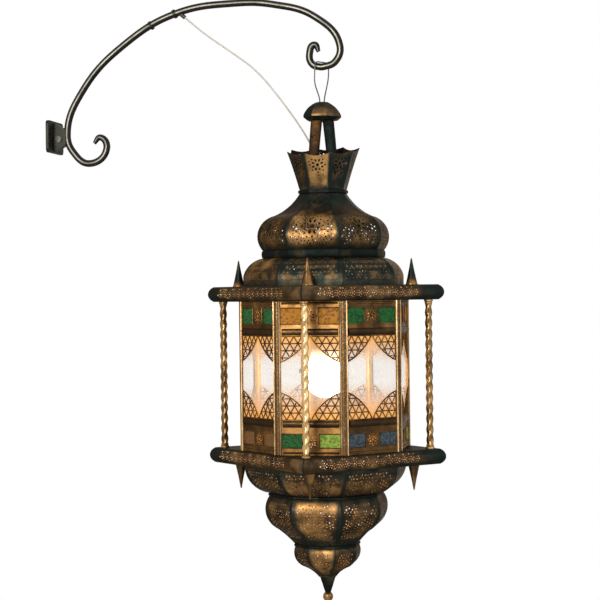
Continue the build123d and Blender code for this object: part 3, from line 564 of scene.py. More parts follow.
# Finishes
class NodeKit:
    """Adds shader nodes to one tree."""

    def __init__(self, tree: bpy.types.NodeTree) -> None:
        """Start with the tree as it is."""
        self.tree = tree

    def give(self, socket: Socket, value: Value) -> None:
        """Link a socket to another one, or set it to a number, a vector or a colour.

        Args:
            socket: The input.
            value: What it gets.
        """
        if isinstance(value, Socket):
            self.tree.links.new(value, socket)
        elif socket.type == "RGBA":
            socket.default_value = (*value, 1.0)
        else:
            socket.default_value = value

    def node(self, kind: str, inputs: dict[str | int, Value]) -> bpy.types.Node:
        """Add a node.

        Args:
            kind: Its type, as Blender names it after ShaderNode.
            inputs: What each input gets, by its name or number.

        Returns:
            The node.
        """
        node = self.tree.nodes.new("ShaderNode" + kind)
        for key, value in inputs.items():
            self.give(node.inputs[key], value)
        return node

    def level(self, value: Socket, low: float, high: float, start: float = 0.0,
              finish: float = 1.0) -> Socket:
        """Stretch a value from one range to another, clamped.

        Args:
            value: The value.
            low: Where the result starts.
            high: Where the result ends.
            start: Result at low.
            finish: Result at high.

        Returns:
            The new value.
        """
        ends = {"From Min": low, "From Max": high, "To Min": start, "To Max": finish}
        return self.node("MapRange", {"Value": value, **ends}).outputs["Result"]

    def math(self, kind: str, first: Socket, second: Socket | float = 0.0) -> Socket:
        """Combine two values.

        Args:
            kind: Blender's name of the operation.
            first: First value.
            second: Second value or a plain number.

        Returns:
            The result.
        """
        node = self.node("Math", {0: first, 1: second})
        node.operation = kind
        return node.outputs["Value"]


class Surface(NodeKit):
    """Builds one material round its principled shader."""

    noise_range = (0.3, 0.7)
    edge_range = (0.52, 0.60)

    def __init__(self, name: str) -> None:
        """Start a material with a plain principled surface."""
        self.material = bpy.data.materials.new(name)
        self.material.use_nodes = True
        super().__init__(self.material.node_tree)
        self.surface = self.tree.nodes["Principled BSDF"]
        places = self.node("TexCoord", {})
        self.spot = places.outputs["Object"]
        self.normal = places.outputs["Normal"]

    def noise(self, scale: float, detail: float, rough: float = 0.55,
              stretch: Optional[Spot] = None) -> Socket:
        """Add cloudy noise.

        Args:
            scale: Waves in a metre.
            detail: Number of finer layers.
            rough: Strength of the finer layers.
            stretch: Scale along each axis.

        Returns:
            Its value.
        """
        spot = self.spot
        if stretch is not None:
            spot = self.node("Mapping", {"Vector": spot, "Scale": stretch}).outputs["Vector"]
        inputs = {"Vector": spot, "Scale": scale, "Detail": detail, "Roughness": rough}
        return self.node("TexNoise", inputs).outputs["Fac"]

    def spread(self, noise: Socket, low: float, high: float) -> Socket:
        """Stretch a noise's usual range to run between two values."""
        return self.level(noise, *self.noise_range, low, high)

    def cells(self, scale: float, smooth: float = 0.6) -> Socket:
        """Add rounded dents, as from a hammer.

        Args:
            scale: Dents in a metre.
            smooth: Softness of their edges.

        Returns:
            Distance to the middle of the dent.
        """
        node = self.node("TexVoronoi", {"Vector": self.spot, "Scale": scale})
        node.feature = "SMOOTH_F1"
        self.give(node.inputs["Smoothness"], smooth)
        return node.outputs["Distance"]

    def ramp(self, value: Socket, stops: Sequence[tuple[float, Colour]]) -> Socket:
        """Turn a value into colours.

        Args:
            value: The value.
            stops: (place, colour) pairs.

        Returns:
            The colour.
        """
        node = self.node("ValToRGB", {"Fac": value})
        elements = node.color_ramp.elements
        while len(elements) < len(stops):
            elements.new(0.5)
        for element, (place, colour) in zip(elements, stops):
            element.position = place
            element.color = (*colour, 1.0)
        return node.outputs["Color"]

    def blend(self, share: Socket, first: Socket | Colour, second: Socket | Colour) -> Socket:
        """Mix two colours.

        Args:
            share: Share of the second colour.
            first: First colour.
            second: Second colour.

        Returns:
            The mixed colour.
        """
        node = self.node("Mix", {"Factor": share})
        node.data_type = "RGBA"
        for name, colour in (("A", first), ("B", second)):
            self.give(next(s for s in node.inputs if s.name == name and s.type == "RGBA"), colour)
        return next(s for s in node.outputs if s.type == "RGBA")

    def attribute(self, name: str) -> Socket:
        """Read a value stored on the mesh."""
        node = self.node("Attribute", {})
        node.attribute_name = name
        return node.outputs["Fac"]

    def facing(self, way: Spot) -> Socket:
        """How squarely the surface faces a direction of the object, from -1 to 1."""
        node = self.node("VectorMath", {0: self.normal, 1: Vector(way).normalized()})
        node.operation = "DOT_PRODUCT"
        return node.outputs["Value"]

    def height(self) -> Socket:
        """Level of the spot, in metres."""
        return self.node("SeparateXYZ", {"Vector": self.spot}).outputs["Z"]

    def edge_wear(self) -> Socket:
        """Value that rises on crisp raised edges."""
        return self.level(self.node("NewGeometry", {}).outputs["Pointiness"], *self.edge_range)

    def bump(self, height: Socket, strength: float, depth: float) -> None:
        """Roughen the surface.

        Args:
            height: Height pattern.
            strength: Strength from 0 to 1.
            depth: Height of the pattern.
        """
        node = self.node("Bump", {"Strength": strength, "Distance": depth * MM, "Height": height})
        self.plug({"Normal": node.outputs["Normal"]})

    def plug(self, values: dict[str, Value]) -> None:
        """Set or link sockets of the surface, by their names."""
        for name, value in values.items():
            self.give(self.surface.inputs[name], value)


@dataclass(frozen=True)
class BrassFinish:
    """Old brass: bronze body, patina in clouds and along seams, rubbed gold on raised edges, painted
    highlight and shade on chosen sides, and painted lamplight on the inner side.
    """

    name: str
    body: Colour
    shade: Colour
    wear_and_highlight: Colour
    patina: Colour = (0.010, 0.017, 0.016)
    cloud: Point = (0.50, 0.70)
    rough: float = 0.34
    edge: float = 0.3
    highlight_way: Optional[Spot] = None
    lit_way: Optional[Spot] = None
    lit: Colour = (0.80, 0.50, 0.20)
    lit_strength: float = 0.12
    gold_tone: float = 0.22
    gold_cloud: float = 0.12
    speck_height: float = 0.35

    def make(self) -> Material:
        """Build the material."""
        kit = Surface(self.name)
        # Painted light and shade: the gold mark, or how squarely the surface faces a set way, shifts the tone
        # towards the bright gold colour as a painted highlight or towards the shade colour as painted shade,
        # and thins the patina on lit sides.
        lean = kit.attribute("gold")
        if self.highlight_way is not None:
            lean = kit.level(kit.facing(self.highlight_way), low=0.35, high=0.95, start=-0.9)
        tone = kit.noise(scale=38.0, detail=6.0)
        tone = kit.math("ADD", tone, kit.math("MULTIPLY", lean, self.gold_tone))
        colour = kit.ramp(tone, [(0.30, self.shade), (0.52, self.body), (0.76, self.wear_and_highlight)])
        clouds = kit.noise(scale=22.0, detail=8.0, rough=0.68)
        clouds = kit.math("SUBTRACT", clouds, kit.math("MULTIPLY", lean, self.gold_cloud))
        seam = kit.level(kit.attribute("seam"), low=0.15, high=0.75)
        dark = kit.math("MAXIMUM", kit.level(clouds, *self.cloud), seam)
        speck = kit.noise(scale=420.0, detail=3.0)
        dark = kit.math("MULTIPLY", dark, kit.level(speck, low=0.30, high=0.52, start=0.7))
        colour = kit.blend(dark, colour, self.patina)
        if self.edge:
            patches = kit.level(kit.noise(scale=60.0, detail=5.0), low=0.38, high=0.6, finish=self.edge)
            colour = kit.blend(kit.math("MULTIPLY", kit.edge_wear(), patches), colour, self.wear_and_highlight)
        # Painted lamplight: the inner side, or the side that faces a set way, takes the lit colour and glows
        # with it; where that colour is dark and does not glow, as in the crown, it is painted shade.
        inside = kit.attribute("inside")
        if self.lit_way is not None:
            inside = kit.level(kit.facing(self.lit_way), low=0.8, high=0.95)
        kit.plug({
            "Base Color": kit.blend(inside, colour, self.lit),
            "Emission Color": kit.blend(inside, BLACK, self.lit),
            "Emission Strength": self.lit_strength,
            "Metallic": 0.85,
            "Specular IOR Level": 0.25,
            "Specular Tint": (0.5, 0.42, 0.34),
            "Roughness": kit.spread(kit.noise(scale=90.0, detail=5.0), self.rough - 0.08, self.rough + 0.16),
        })
        dents = kit.math("ADD", kit.cells(scale=170.0), kit.math("MULTIPLY", speck, self.speck_height))
        kit.bump(dents, strength=0.4, depth=0.35)
        return kit.material


@dataclass(frozen=True)
class IronFinish:
    """Forged iron: dark grey-green scale, soft hammer marks and a painted highlight down each flank, bright
    on the bar.
    """

    name: str
    scale: Colour = (0.011, 0.013, 0.011)
    rust: Colour = (0.020, 0.018, 0.014)
    flank_highlight: Colour = (0.27, 0.265, 0.245)
    flank_way: Spot = (0.0, 1.0, 0.0)
    flank_range: Point = (0.955, 0.998)

    def make(self) -> Material:
        """Build the material."""
        kit = Surface(self.name)
        tone = kit.ramp(kit.noise(scale=55.0, detail=6.0), [(0.34, self.scale), (0.62, self.rust)])
        # Painted highlight: a pale stripe down each flank, where the surface faces straight along the flank
        # way, broken into patches.
        flank = kit.level(kit.math("ABSOLUTE", kit.facing(self.flank_way)), *self.flank_range)
        patches = kit.level(kit.noise(scale=26.0, detail=4.0), low=0.3, high=0.62, start=0.25)
        flank_highlight = kit.math("MULTIPLY", flank, patches)
        kit.plug({
            "Base Color": kit.blend(flank_highlight, tone, self.flank_highlight),
            "Metallic": 0.6,
            "Specular IOR Level": 0.2,
            "Specular Tint": (0.40, 0.41, 0.38),
            "Roughness": kit.spread(kit.noise(scale=60.0, detail=3.0), low=0.34, high=0.46),
        })
        kit.bump(kit.cells(scale=55.0), strength=0.04, depth=0.3)
        return kit.material


@dataclass(frozen=True)
class SteelFinish:
    """Plain steel with drawing lines and a little tarnish."""

    name: str
    clean: Colour = (0.42, 0.41, 0.39)
    tarnish: Colour = (0.15, 0.13, 0.10)
    drawn: Spot = (1.0, 1.0, 0.1)

    def make(self) -> Material:
        """Build the material."""
        kit = Surface(self.name)
        kit.plug({
            "Base Color": kit.ramp(kit.noise(scale=180.0, detail=5.0),
                                   [(0.35, self.tarnish), (0.6, self.clean)]),
            "Metallic": 1.0,
            "Roughness": kit.spread(kit.noise(scale=300.0, detail=3.0), low=0.22, high=0.42),
        })
        kit.bump(kit.noise(scale=900.0, detail=2.0, stretch=self.drawn), strength=0.2, depth=0.1)
        return kit.material


@dataclass(frozen=True)
class HammeredGlass:
    """Thick coloured glass with a hammered face, with a painted glow of the lamp behind it and painted shade
    low down.
    """

    name: str
    thin: Colour
    deep: Colour
    glow: float = 0.15
    low_shade: Colour = (0.07, 0.036, 0.013)
    low_shade_level: float = -390.0
    low_shade_rise: float = 30.0
    low_shade_share: float = 0.0

    def make(self) -> Material:
        """Build the material."""
        kit = Surface(self.name)
        dents = kit.cells(scale=260.0, smooth=0.35)
        swirl = kit.noise(scale=140.0, detail=4.0)
        waves = kit.level(swirl, low=0.35, high=0.65, start=-0.3, finish=0.3)
        depth = kit.math("ADD", kit.level(dents, low=0.1, high=0.75), waves)
        colour = kit.ramp(depth, [(0.15, self.deep), (0.8, self.thin)])
        # Painted shade: below a set level the glass turns dark brown, as less lamplight reaches the lower
        # tiles.
        if self.low_shade_share:
            clear_level = self.low_shade_level + self.low_shade_rise
            low = kit.level(kit.height(), self.low_shade_level * MM, clear_level * MM, self.low_shade_share, 0.0)
            colour = kit.blend(low, colour, self.low_shade)
        # The emission is a painted glow of the lamp behind the glass.
        kit.plug({
            "Base Color": colour,
            "Emission Color": colour,
            "Emission Strength": self.glow,
            "Transmission Weight": 0.15,
            "IOR": 1.4,
            "Specular IOR Level": 0.12,
            "Roughness": kit.spread(swirl, low=0.32, high=0.5),
        })
        kit.bump(dents, strength=0.6, depth=0.7)
        return kit.material


@dataclass(frozen=True)
class ClearGlass:
    """Old clear sheet glass: clear in the middle, with a painted amber lamp glow towards its top and foot."""

    name: str
    tint: Colour = (0.74, 0.72, 0.72)
    amber_glow: Colour = (0.70, 0.36, 0.09)
    veil: float = 0.15
    glow_veil: float = 0.66
    middle: float = -343.0
    clear_half: float = 16.0
    full_half: float = 52.0

    def make(self) -> Material:
        """Build the material."""
        kit = Surface(self.name)
        dust = kit.noise(scale=70.0, detail=6.0)
        away = kit.math("ABSOLUTE", kit.math("SUBTRACT", kit.height(), self.middle * MM))
        edge = kit.level(away, self.clear_half * MM, self.full_half * MM)
        veil = kit.level(edge, 0.0, 1.0, self.veil, self.glow_veil)
        # Painted lamp glow: away from the middle the glass turns amber, more opaque, and emits that amber.
        kit.plug({
            "Base Color": kit.blend(edge, self.tint, self.amber_glow),
            "Emission Color": kit.blend(edge, BLACK, self.amber_glow),
            "Emission Strength": 0.35,
            "Alpha": kit.math("ADD", veil, kit.spread(dust, low=-0.03, high=0.05)),
            "Roughness": kit.spread(dust, low=0.1, high=0.22),
        })
        kit.bump(kit.noise(scale=28.0, detail=2.0), strength=0.25, depth=0.6)
        return kit.material


@dataclass(frozen=True)
class LampGlass:
    """Lit frosted bulb: white round its globe and amber towards the neck."""

    name: str
    frost: Colour = (0.95, 0.90, 0.80)
    strength: float = 7.0
    globe: Colour = (1.0, 0.82, 0.54)
    neck: Colour = (0.11, 0.050, 0.014)
    fade_start: float = -330.0
    fade_end: float = -306.0

    def make(self) -> Material:
        """Build the material."""
        kit = Surface(self.name)
        fade = kit.level(kit.height(), self.fade_start * MM, self.fade_end * MM)
        kit.plug({
            "Base Color": self.frost,
            "Emission Color": kit.blend(fade, self.globe, self.neck),
            "Emission Strength": self.strength,
            "Roughness": 0.35,
        })
        kit.bump(kit.noise(scale=500.0, detail=2.0), strength=0.15, depth=0.1)
        return kit.material


@dataclass(frozen=True)
class PlasticFinish:
    """Moulded or drawn plastic with a fine skin and a little dust."""

    name: str
    skin: Colour
    dust: Colour
    rough: float = 0.5

    def make(self) -> Material:
        """Build the material."""
        kit = Surface(self.name)
        kit.plug({
            "Base Color": kit.ramp(kit.noise(scale=120.0, detail=5.0),
                                   [(0.35, self.skin), (0.72, self.dust)]),
            "Roughness": kit.spread(kit.noise(scale=260.0, detail=3.0), self.rough - 0.08, self.rough + 0.1),
        })
        kit.bump(kit.noise(scale=1500.0, detail=2.0), strength=0.2, depth=0.08)
        return kit.material


def make_finishes() -> Finishes:
    """Make every material of the lantern once, each under its own name."""
    bronze, umber, gold = (0.056, 0.032, 0.014), (0.017, 0.012, 0.008), (0.33, 0.185, 0.068)
    teal, ink, rubbed = (0.014, 0.020, 0.018), (0.008, 0.013, 0.012), (0.075, 0.055, 0.030)
    cream, amber, russet = (0.92, 0.76, 0.52), (0.85, 0.47, 0.16), (0.040, 0.021, 0.009)
    up, down = (0.0, 0.0, 1.0), (0.0, 0.0, -1.0)
    # Each lit colour is painted lamplight on the inner side, and the bright gold colour also serves as a
    # painted highlight.
    finishes = (
        BrassFinish("aged_brass", bronze, umber, gold, cloud=(0.45, 0.66), rough=0.42, lit=(0.56, 0.38, 0.21),
                    lit_strength=0.06),
        BrassFinish("dome_brass", bronze, umber, gold, cloud=(0.47, 0.68), rough=0.42,
                    lit=(0.10, 0.065, 0.035), lit_strength=0.05),
        BrassFinish("skirt_brass", bronze, ink, gold, cloud=(0.44, 0.66), rough=0.42, lit=(0.46, 0.38, 0.28),
                    lit_strength=0.08),
        BrassFinish("crown_brass", bronze, umber, (0.30, 0.175, 0.066), cloud=(0.47, 0.68), lit=umber,
                    lit_strength=0.0),
        BrassFinish("rim_brass", (0.046, 0.028, 0.014), ink, (0.17, 0.105, 0.048), rough=0.42,
                    lit=(0.78, 0.54, 0.31), lit_strength=0.18),
        BrassFinish("spike_brass", (0.06, 0.036, 0.016), ink, (0.26, 0.14, 0.05)),
        BrassFinish("band_brass", (0.075, 0.038, 0.014), (0.028, 0.016, 0.008), (0.26, 0.14, 0.046),
                    patina=(0.020, 0.014, 0.009), cloud=(0.54, 0.76), lit=amber, lit_strength=0.22),
        BrassFinish("bright_brass", (0.30, 0.17, 0.062), (0.10, 0.054, 0.020), (0.64, 0.44, 0.21),
                    patina=russet, cloud=(0.60, 0.82), rough=0.27, edge=0.5),
        BrassFinish("post_brass", (0.50, 0.34, 0.17), (0.26, 0.15, 0.062), (0.74, 0.58, 0.36), edge=0.0,
                    patina=(0.085, 0.045, 0.018), cloud=(0.62, 0.84), lit=amber, lit_strength=0.22),
        BrassFinish("dark_brass", (0.009, 0.013, 0.012), ink, rubbed, patina=(0.006, 0.010, 0.0095),
                    cloud=(0.42, 0.66), rough=0.54, edge=0.0),
        BrassFinish("deck_brass", teal, ink, rubbed, rough=0.48, edge=0.0, lit_way=down, lit=cream,
                    lit_strength=0.3),
        BrassFinish("soffit_brass", teal, ink, rubbed, rough=0.48, edge=0.0, lit_way=up, lit=cream,
                    lit_strength=0.3),
        # The cap's facets that face the front get a painted highlight, the others painted shade.
        BrassFinish("cap_brass", (0.036, 0.026, 0.015), ink, (0.15, 0.092, 0.043), cloud=(0.43, 0.58),
                    rough=0.50, edge=0.0, highlight_way=(0.25, -1.0, 0.1)),
        BrassFinish("bail_brass", (0.044, 0.022, 0.009), ink, (0.14, 0.062, 0.017), rough=0.52,
                    patina=(0.005, 0.0085, 0.008), cloud=(0.44, 0.58)),
        BrassFinish("small_brass", (0.36, 0.21, 0.078), (0.14, 0.077, 0.029), (0.58, 0.39, 0.18),
                    patina=russet, edge=0.0),
        IronFinish("forged_iron"),
        IronFinish("plate_iron", flank_highlight=(0.040, 0.043, 0.038)),
        SteelFinish("steel"),
        SteelFinish("dark_wire", (0.11, 0.11, 0.105), (0.05, 0.046, 0.042)),
        ClearGlass("clear_glass"),
        HammeredGlass("green_glass", (0.010, 0.088, 0.018), (0.002, 0.030, 0.006), glow=0.12),
        HammeredGlass("amber_glass", (0.36, 0.145, 0.006), (0.17, 0.062, 0.003), low_shade_share=0.8),
        HammeredGlass("lime_glass", (0.24, 0.34, 0.05), (0.09, 0.16, 0.02)),
        HammeredGlass("blue_glass", (0.052, 0.074, 0.088), (0.016, 0.027, 0.034), glow=0.08),
        LampGlass("bulb_glass"),
        PlasticFinish("cord_cover", (0.44, 0.41, 0.39), (0.52, 0.49, 0.47)),
        PlasticFinish("black_plastic", (0.016, 0.016, 0.017), (0.045, 0.042, 0.038), 0.42),
    )
    return {finish.name: finish.make() for finish in finishes}


# Studio
@dataclass(frozen=True)
class SoftLamp:
    """Square lamp that faces the lantern."""

    name: str
    spot: Spot
    size: float
    power: float
    colour: Colour

    def hang(self, target: Vector) -> None:
        """Hang it and turn it to a point."""
        data = bpy.data.lights.new(self.name, "AREA")
        data.size = self.size * MM
        data.energy = self.power
        data.color = self.colour
        lamp = bpy.data.objects.new(self.name, data)
        bpy.context.scene.collection.objects.link(lamp)
        place = Vector(self.spot) * MM
        aim = target * MM - place
        lamp.matrix_world = Matrix.Translation(place) @ aim.to_track_quat("-Z", "Y").to_matrix().to_4x4()


@dataclass
class Studio:
    """Camera at the photograph's place, pale floor, soft lamps and a white surround."""

    azimuth: float = 10.5
    distance: float = 2324.0
    eye_level: float = -234.4
    focal_pixels: float = 1660.0
    frame_pixels: float = 600.0
    axis_pixel: float = 324.5
    horizon_pixel: float = 297.0
    roll: float = 0.7
    sensor: float = 36.0
    sight: float = 20000.0
    key: SoftLamp = SoftLamp("key", (30.0, -1960.0, 150.0), 600.0, 30.0, (1.0, 0.90, 0.76))
    fill: SoftLamp = SoftLamp("fill", (1700.0, -900.0, 0.0), 1200.0, 6.0, (0.90, 0.95, 1.0))
    over: SoftLamp = SoftLamp("over", (500.0, 500.0, 1300.0), 1200.0, 10.0, (1.0, 0.97, 0.92))
    plain_light: float = 0.5
    floor_level: float = -1100.0
    floor_half: float = 2150.0
    floor_paint: tuple[Colour, Colour] = ((0.84, 0.84, 0.83), (0.87, 0.87, 0.86))

    def build(self) -> None:
        """Make the camera, the lamps, the world and the floor."""
        self.camera()
        for lamp in (self.key, self.fill, self.over):
            lamp.hang(Vector((AXIS.x, 0.0, self.eye_level)))
        self.world()
        self.floor()
        LOG.info("studio ready")

    def camera(self) -> None:
        """Place the camera so that the lantern's axis falls on its own pixel column."""
        turn = math.radians(self.azimuth)
        half = self.frame_pixels / 2
        yaw = turn + math.atan((self.axis_pixel - half) / self.focal_pixels)
        pitch = math.atan((half - self.horizon_pixel) / self.focal_pixels)
        data = bpy.data.cameras.new("camera")
        data.sensor_width = self.sensor
        data.lens = self.sensor * self.focal_pixels / self.frame_pixels
        data.clip_end = self.sight * MM
        camera = bpy.data.objects.new("camera", data)
        bpy.context.scene.collection.objects.link(camera)
        away = Vector((math.sin(turn), -math.cos(turn), 0.0)) * self.distance
        spot = AXIS + away + Vector((0.0, 0.0, self.eye_level))
        aim = Matrix.Rotation(yaw, 4, "Z") @ Matrix.Rotation(math.pi / 2 - pitch, 4, "X")
        aim = aim @ Matrix.Rotation(-math.radians(self.roll), 4, "Z")
        camera.matrix_world = Matrix.Translation(spot * MM) @ aim
        bpy.context.scene.camera = camera

    def world(self) -> None:
        """White where the camera, metal or glass looks at it, and a soft grey for plain light."""
        world = bpy.data.worlds.new("world")
        bpy.context.scene.world = world
        world.use_nodes = True
        kit = NodeKit(world.node_tree)
        rays = kit.node("LightPath", {}).outputs
        seen = kit.math("MAXIMUM", rays["Is Camera Ray"], rays["Is Glossy Ray"])
        seen = kit.math("MAXIMUM", seen, rays["Is Transmission Ray"])
        ground = world.node_tree.nodes["Background"]
        kit.give(ground.inputs["Strength"], kit.level(seen, 0.0, 1.0, self.plain_light, 1.0))
        kit.give(ground.inputs["Color"], WHITE)
        bpy.context.scene.view_settings.view_transform = "Standard"

    def floor(self) -> None:
        """Lay a pale floor well below the lantern."""
        half, level = self.floor_half, self.floor_level
        maker = MeshMaker()
        corners = [(-half, -half), (half, -half), (half, half), (-half, half)]
        maker.add([AXIS + Vector((x, y, level)) for x, y in corners], [(0, 1, 2, 3)])
        floor = maker.make("floor", sharp=35.0)
        kit = Surface("floor_paint")
        paint = kit.ramp(kit.noise(scale=6.0, detail=3.0), list(zip(kit.noise_range, self.floor_paint)))
        kit.plug({"Base Color": paint, "Roughness": 0.9})
        floor.data.materials.append(kit.material)


# Supply cord
@dataclass
class SupplyCord:
    """Thin pale cord that hangs from the bar to the crown."""

    diameter: float = 2.5
    root: Spot = (190.0, 0.0, 172.8)
    exit_way: Spot = (0.755, 0.0, -0.656)
    grommet: float = 12.0
    first_run: float = 20.0
    route: tuple[Spot, ...] = (
        (233.0, 0.0, 136.5), (265.0, 1.0, 114.0), (303.0, 3.0, 86.0), (338.0, 7.0, 41.5),
        (366.5, 11.5, -0.5), (383.5, 13.5, -33.0), (390.0, 14.0, -56.0), (390.0, 14.0, -72.0),
    )
    length: float = 314.5

    def build(self, finishes: Finishes) -> None:
        """Make the cord as a tube along its smooth line."""
        way = Vector(self.exit_way).normalized()
        start = Vector(self.root) + way * self.grommet
        places = [start, start + way * self.first_run] + [Vector(place) for place in self.route]
        line = smooth_line([place * MM for place in places], per_span=10, kind=Line.TOWARDS)
        maker = MeshMaker()
        maker.tube([spot / MM for spot in line], self.diameter / 2, sides=10)
        cord = maker.make("cord", sharp=60.0)
        cord.data.materials.append(finishes["cord_cover"])
        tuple(line[0])
        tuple(line[-1])
        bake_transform(cord)
        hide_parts("supply_cord")
        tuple(line[0])
        LOG.info("cord hung, %d points", len(line))


# Wall bracket
@dataclass
class Bracket:
    """Scrolled round bar in a boss on a wall plate."""

    radius: float = 5.0
    tip_radius: float = 2.8
    root_taper: float = 0.09
    curl_taper: float = 0.07
    hook_level: float = 87.5
    seat_half: float = 3.0
    arch: tuple[Point, ...] = (
        (62.0, -9.5), (71.0, -1.5), (80.5, -17.5), (55.5, -38.5), (30.5, -22.0), (21.5, 4.0), (45.5, 66.5),
        (113.0, 133.5), (187.5, 172.0), (268.0, 182.0), (327.0, 178.0), (388.5, 157.0), (422.0, 117.0),
        (415.8, 94.4),
    )
    curl: tuple[Point, ...] = ((382.6, 91.8), (379.0, 106.5), (386.0, 118.5), (392.0, 109.0))

    def build(self, finishes: Finishes) -> None:
        """Forge the bar and dress what carries it."""
        seat = [(AXIS.x + self.seat_half, self.hook_level), (AXIS.x - self.seat_half, self.hook_level)]
        places = [Vector((x, 0.0, z)) for x, z in (*self.arch, *seat, *self.curl)]
        maker = MeshMaker()
        maker.tube(smooth_line(places, per_span=12), self.thickness, sides=20)
        maker.stand_for("scroll_bar", "forged_bar", finishes["forged_iron"], "forged_iron", sharp=50.0,
                        body="bracket")
        dress(finishes, plate_iron=("wall_plate", "bracket_boss", "bar_bands"), dark_wire=("clamp_screw",),
              black_plastic=("cord_grommet",))

    def thickness(self, share: float) -> float:
        """Radius of the bar at a share of its length: drawn down at both tips."""
        end = min(share / self.root_taper, (1.0 - share) / self.curl_taper, 1.0)
        return self.tip_radius + (self.radius - self.tip_radius) * math.sin(end * math.pi / 2)


# Pierced eight-sided forms
class Gore:
    """One side of a flat-sided sheet form, unrolled to (across, up)."""

    stud_gaps = (1.0, 3.0, 6.0, 10.0, 16.0)
    least_reach = 2.0
    seam_width = 1e-3

    def __init__(self, profile: Sequence[Point], sides: int = SIDES) -> None:
        """Measure the side.

        Args:
            profile: (apothem, level) points of the outer line, from top to bottom.
            sides: Number of sides of the whole form.
        """
        line = np.array(profile[::-1], float)
        self.ups = np.concatenate([[0.0], np.cumsum(np.hypot(*np.diff(line, axis=0).T))])
        self.apothems, self.levels = line.T
        slope = np.gradient(line, self.ups, axis=0)
        self.out_ways = slope[:, 1] / np.hypot(*slope.T)
        self.rise_ways = -slope[:, 0] / np.hypot(*slope.T)
        self.sides = sides
        self.height = float(self.ups[-1])

    def half_width(self, up: float) -> float:
        """Half width of the side at a distance up it."""
        return float(np.interp(up, self.ups, self.apothems)) * math.tan(math.pi / self.sides)

    def up_at(self, level: float) -> float:
        """Distance up the side at a level, for a form whose levels only rise."""
        return float(np.interp(level, self.levels, self.ups))

    def place(self, across: float, up: float, depth: float) -> Vector:
        """Point on the side that faces +X, at a depth below its outer face."""
        tracks = (self.apothems, self.levels, self.out_ways, self.rise_ways)
        apothem, level, out_way, rise_way = (float(np.interp(up, self.ups, track)) for track in tracks)
        out = apothem - depth * out_way
        return Vector((out, across * out / apothem, level - depth * rise_way))

    def outline(self) -> list[Point]:
        """Corners of the unrolled side, counter-clockwise."""
        right = [(self.half_width(up), float(up)) for up in self.ups]
        return right + [(-across, up) for across, up in reversed(right)]

    def studs(self) -> list[Point]:
        """Points beside the seams and across the middle, so that wear and patina have places to sit."""
        found = []
        for up in self.ups[1:-1]:
            half = self.half_width(up)
            reaches = [half - gap for gap in self.stud_gaps if half - gap > self.least_reach]
            found += [(way * reach, float(up)) for reach in reaches for way in (-1, 1)] + [(0.0, float(up))]
        return found

    def on_seam(self, first: Point, second: Point) -> bool:
        """Whether an edge lies on the seam with a neighbouring side."""
        same = first[0] * second[0] > 0
        gaps = [self.half_width(up) - abs(across) for across, up in (first, second)]
        return same and max(gaps) < self.seam_width

    def seam(self, side: float, top: float, foot: float) -> Field:
        """Nearness to the side's seams, top and foot, where the colour turns darker.

        Args:
            side: Width of the zone beside each seam.
            top: Height of the zone at the top.
            foot: Height of the zone at the foot.

        Returns:
            The function of (across, up), from 0 to 1.
        """
        def nearness(across: float, up: float) -> float:
            """Greatest of the three nearnesses."""
            gaps = ((self.half_width(up) - abs(across)) / side, (self.height - up) / top, up / foot)
            return max(0.0, 1.0 - min(gaps))

        return nearness

    def field(self, low: float, high: float, margin: float) -> Field:
        """Distance from a spot to the edge of the part that may be pierced.

        Args:
            low: Lowest distance up.
            high: Highest distance up.
            margin: Plain strip beside each seam.

        Returns:
            The function of (across, up).
        """
        return lambda across, up: min(self.half_width(up) - abs(across) - margin, up - low, high - up)


class Pattern(Enum):
    """How a form's sides are pierced."""

    ROSETTE = "one flower among punched dots"
    ROWS = "rows of leaves between rows of dots"
    SIEVE = "dense dots with small flowers"


def side_shading(face: str, front: Spot) -> float:
    """Painted light and shade of one of the eight sides: as seen on the three front ones, and the same in
    turn behind.

    Args:
        face: Letter of the side.
        front: Values of the sides a, b and c.

    Returns:
        1 for a painted highlight in gold, -1 for painted shade.
    """
    return front["abc".index(face)] if face in "abc" else front["defgh".index(face) % 3]


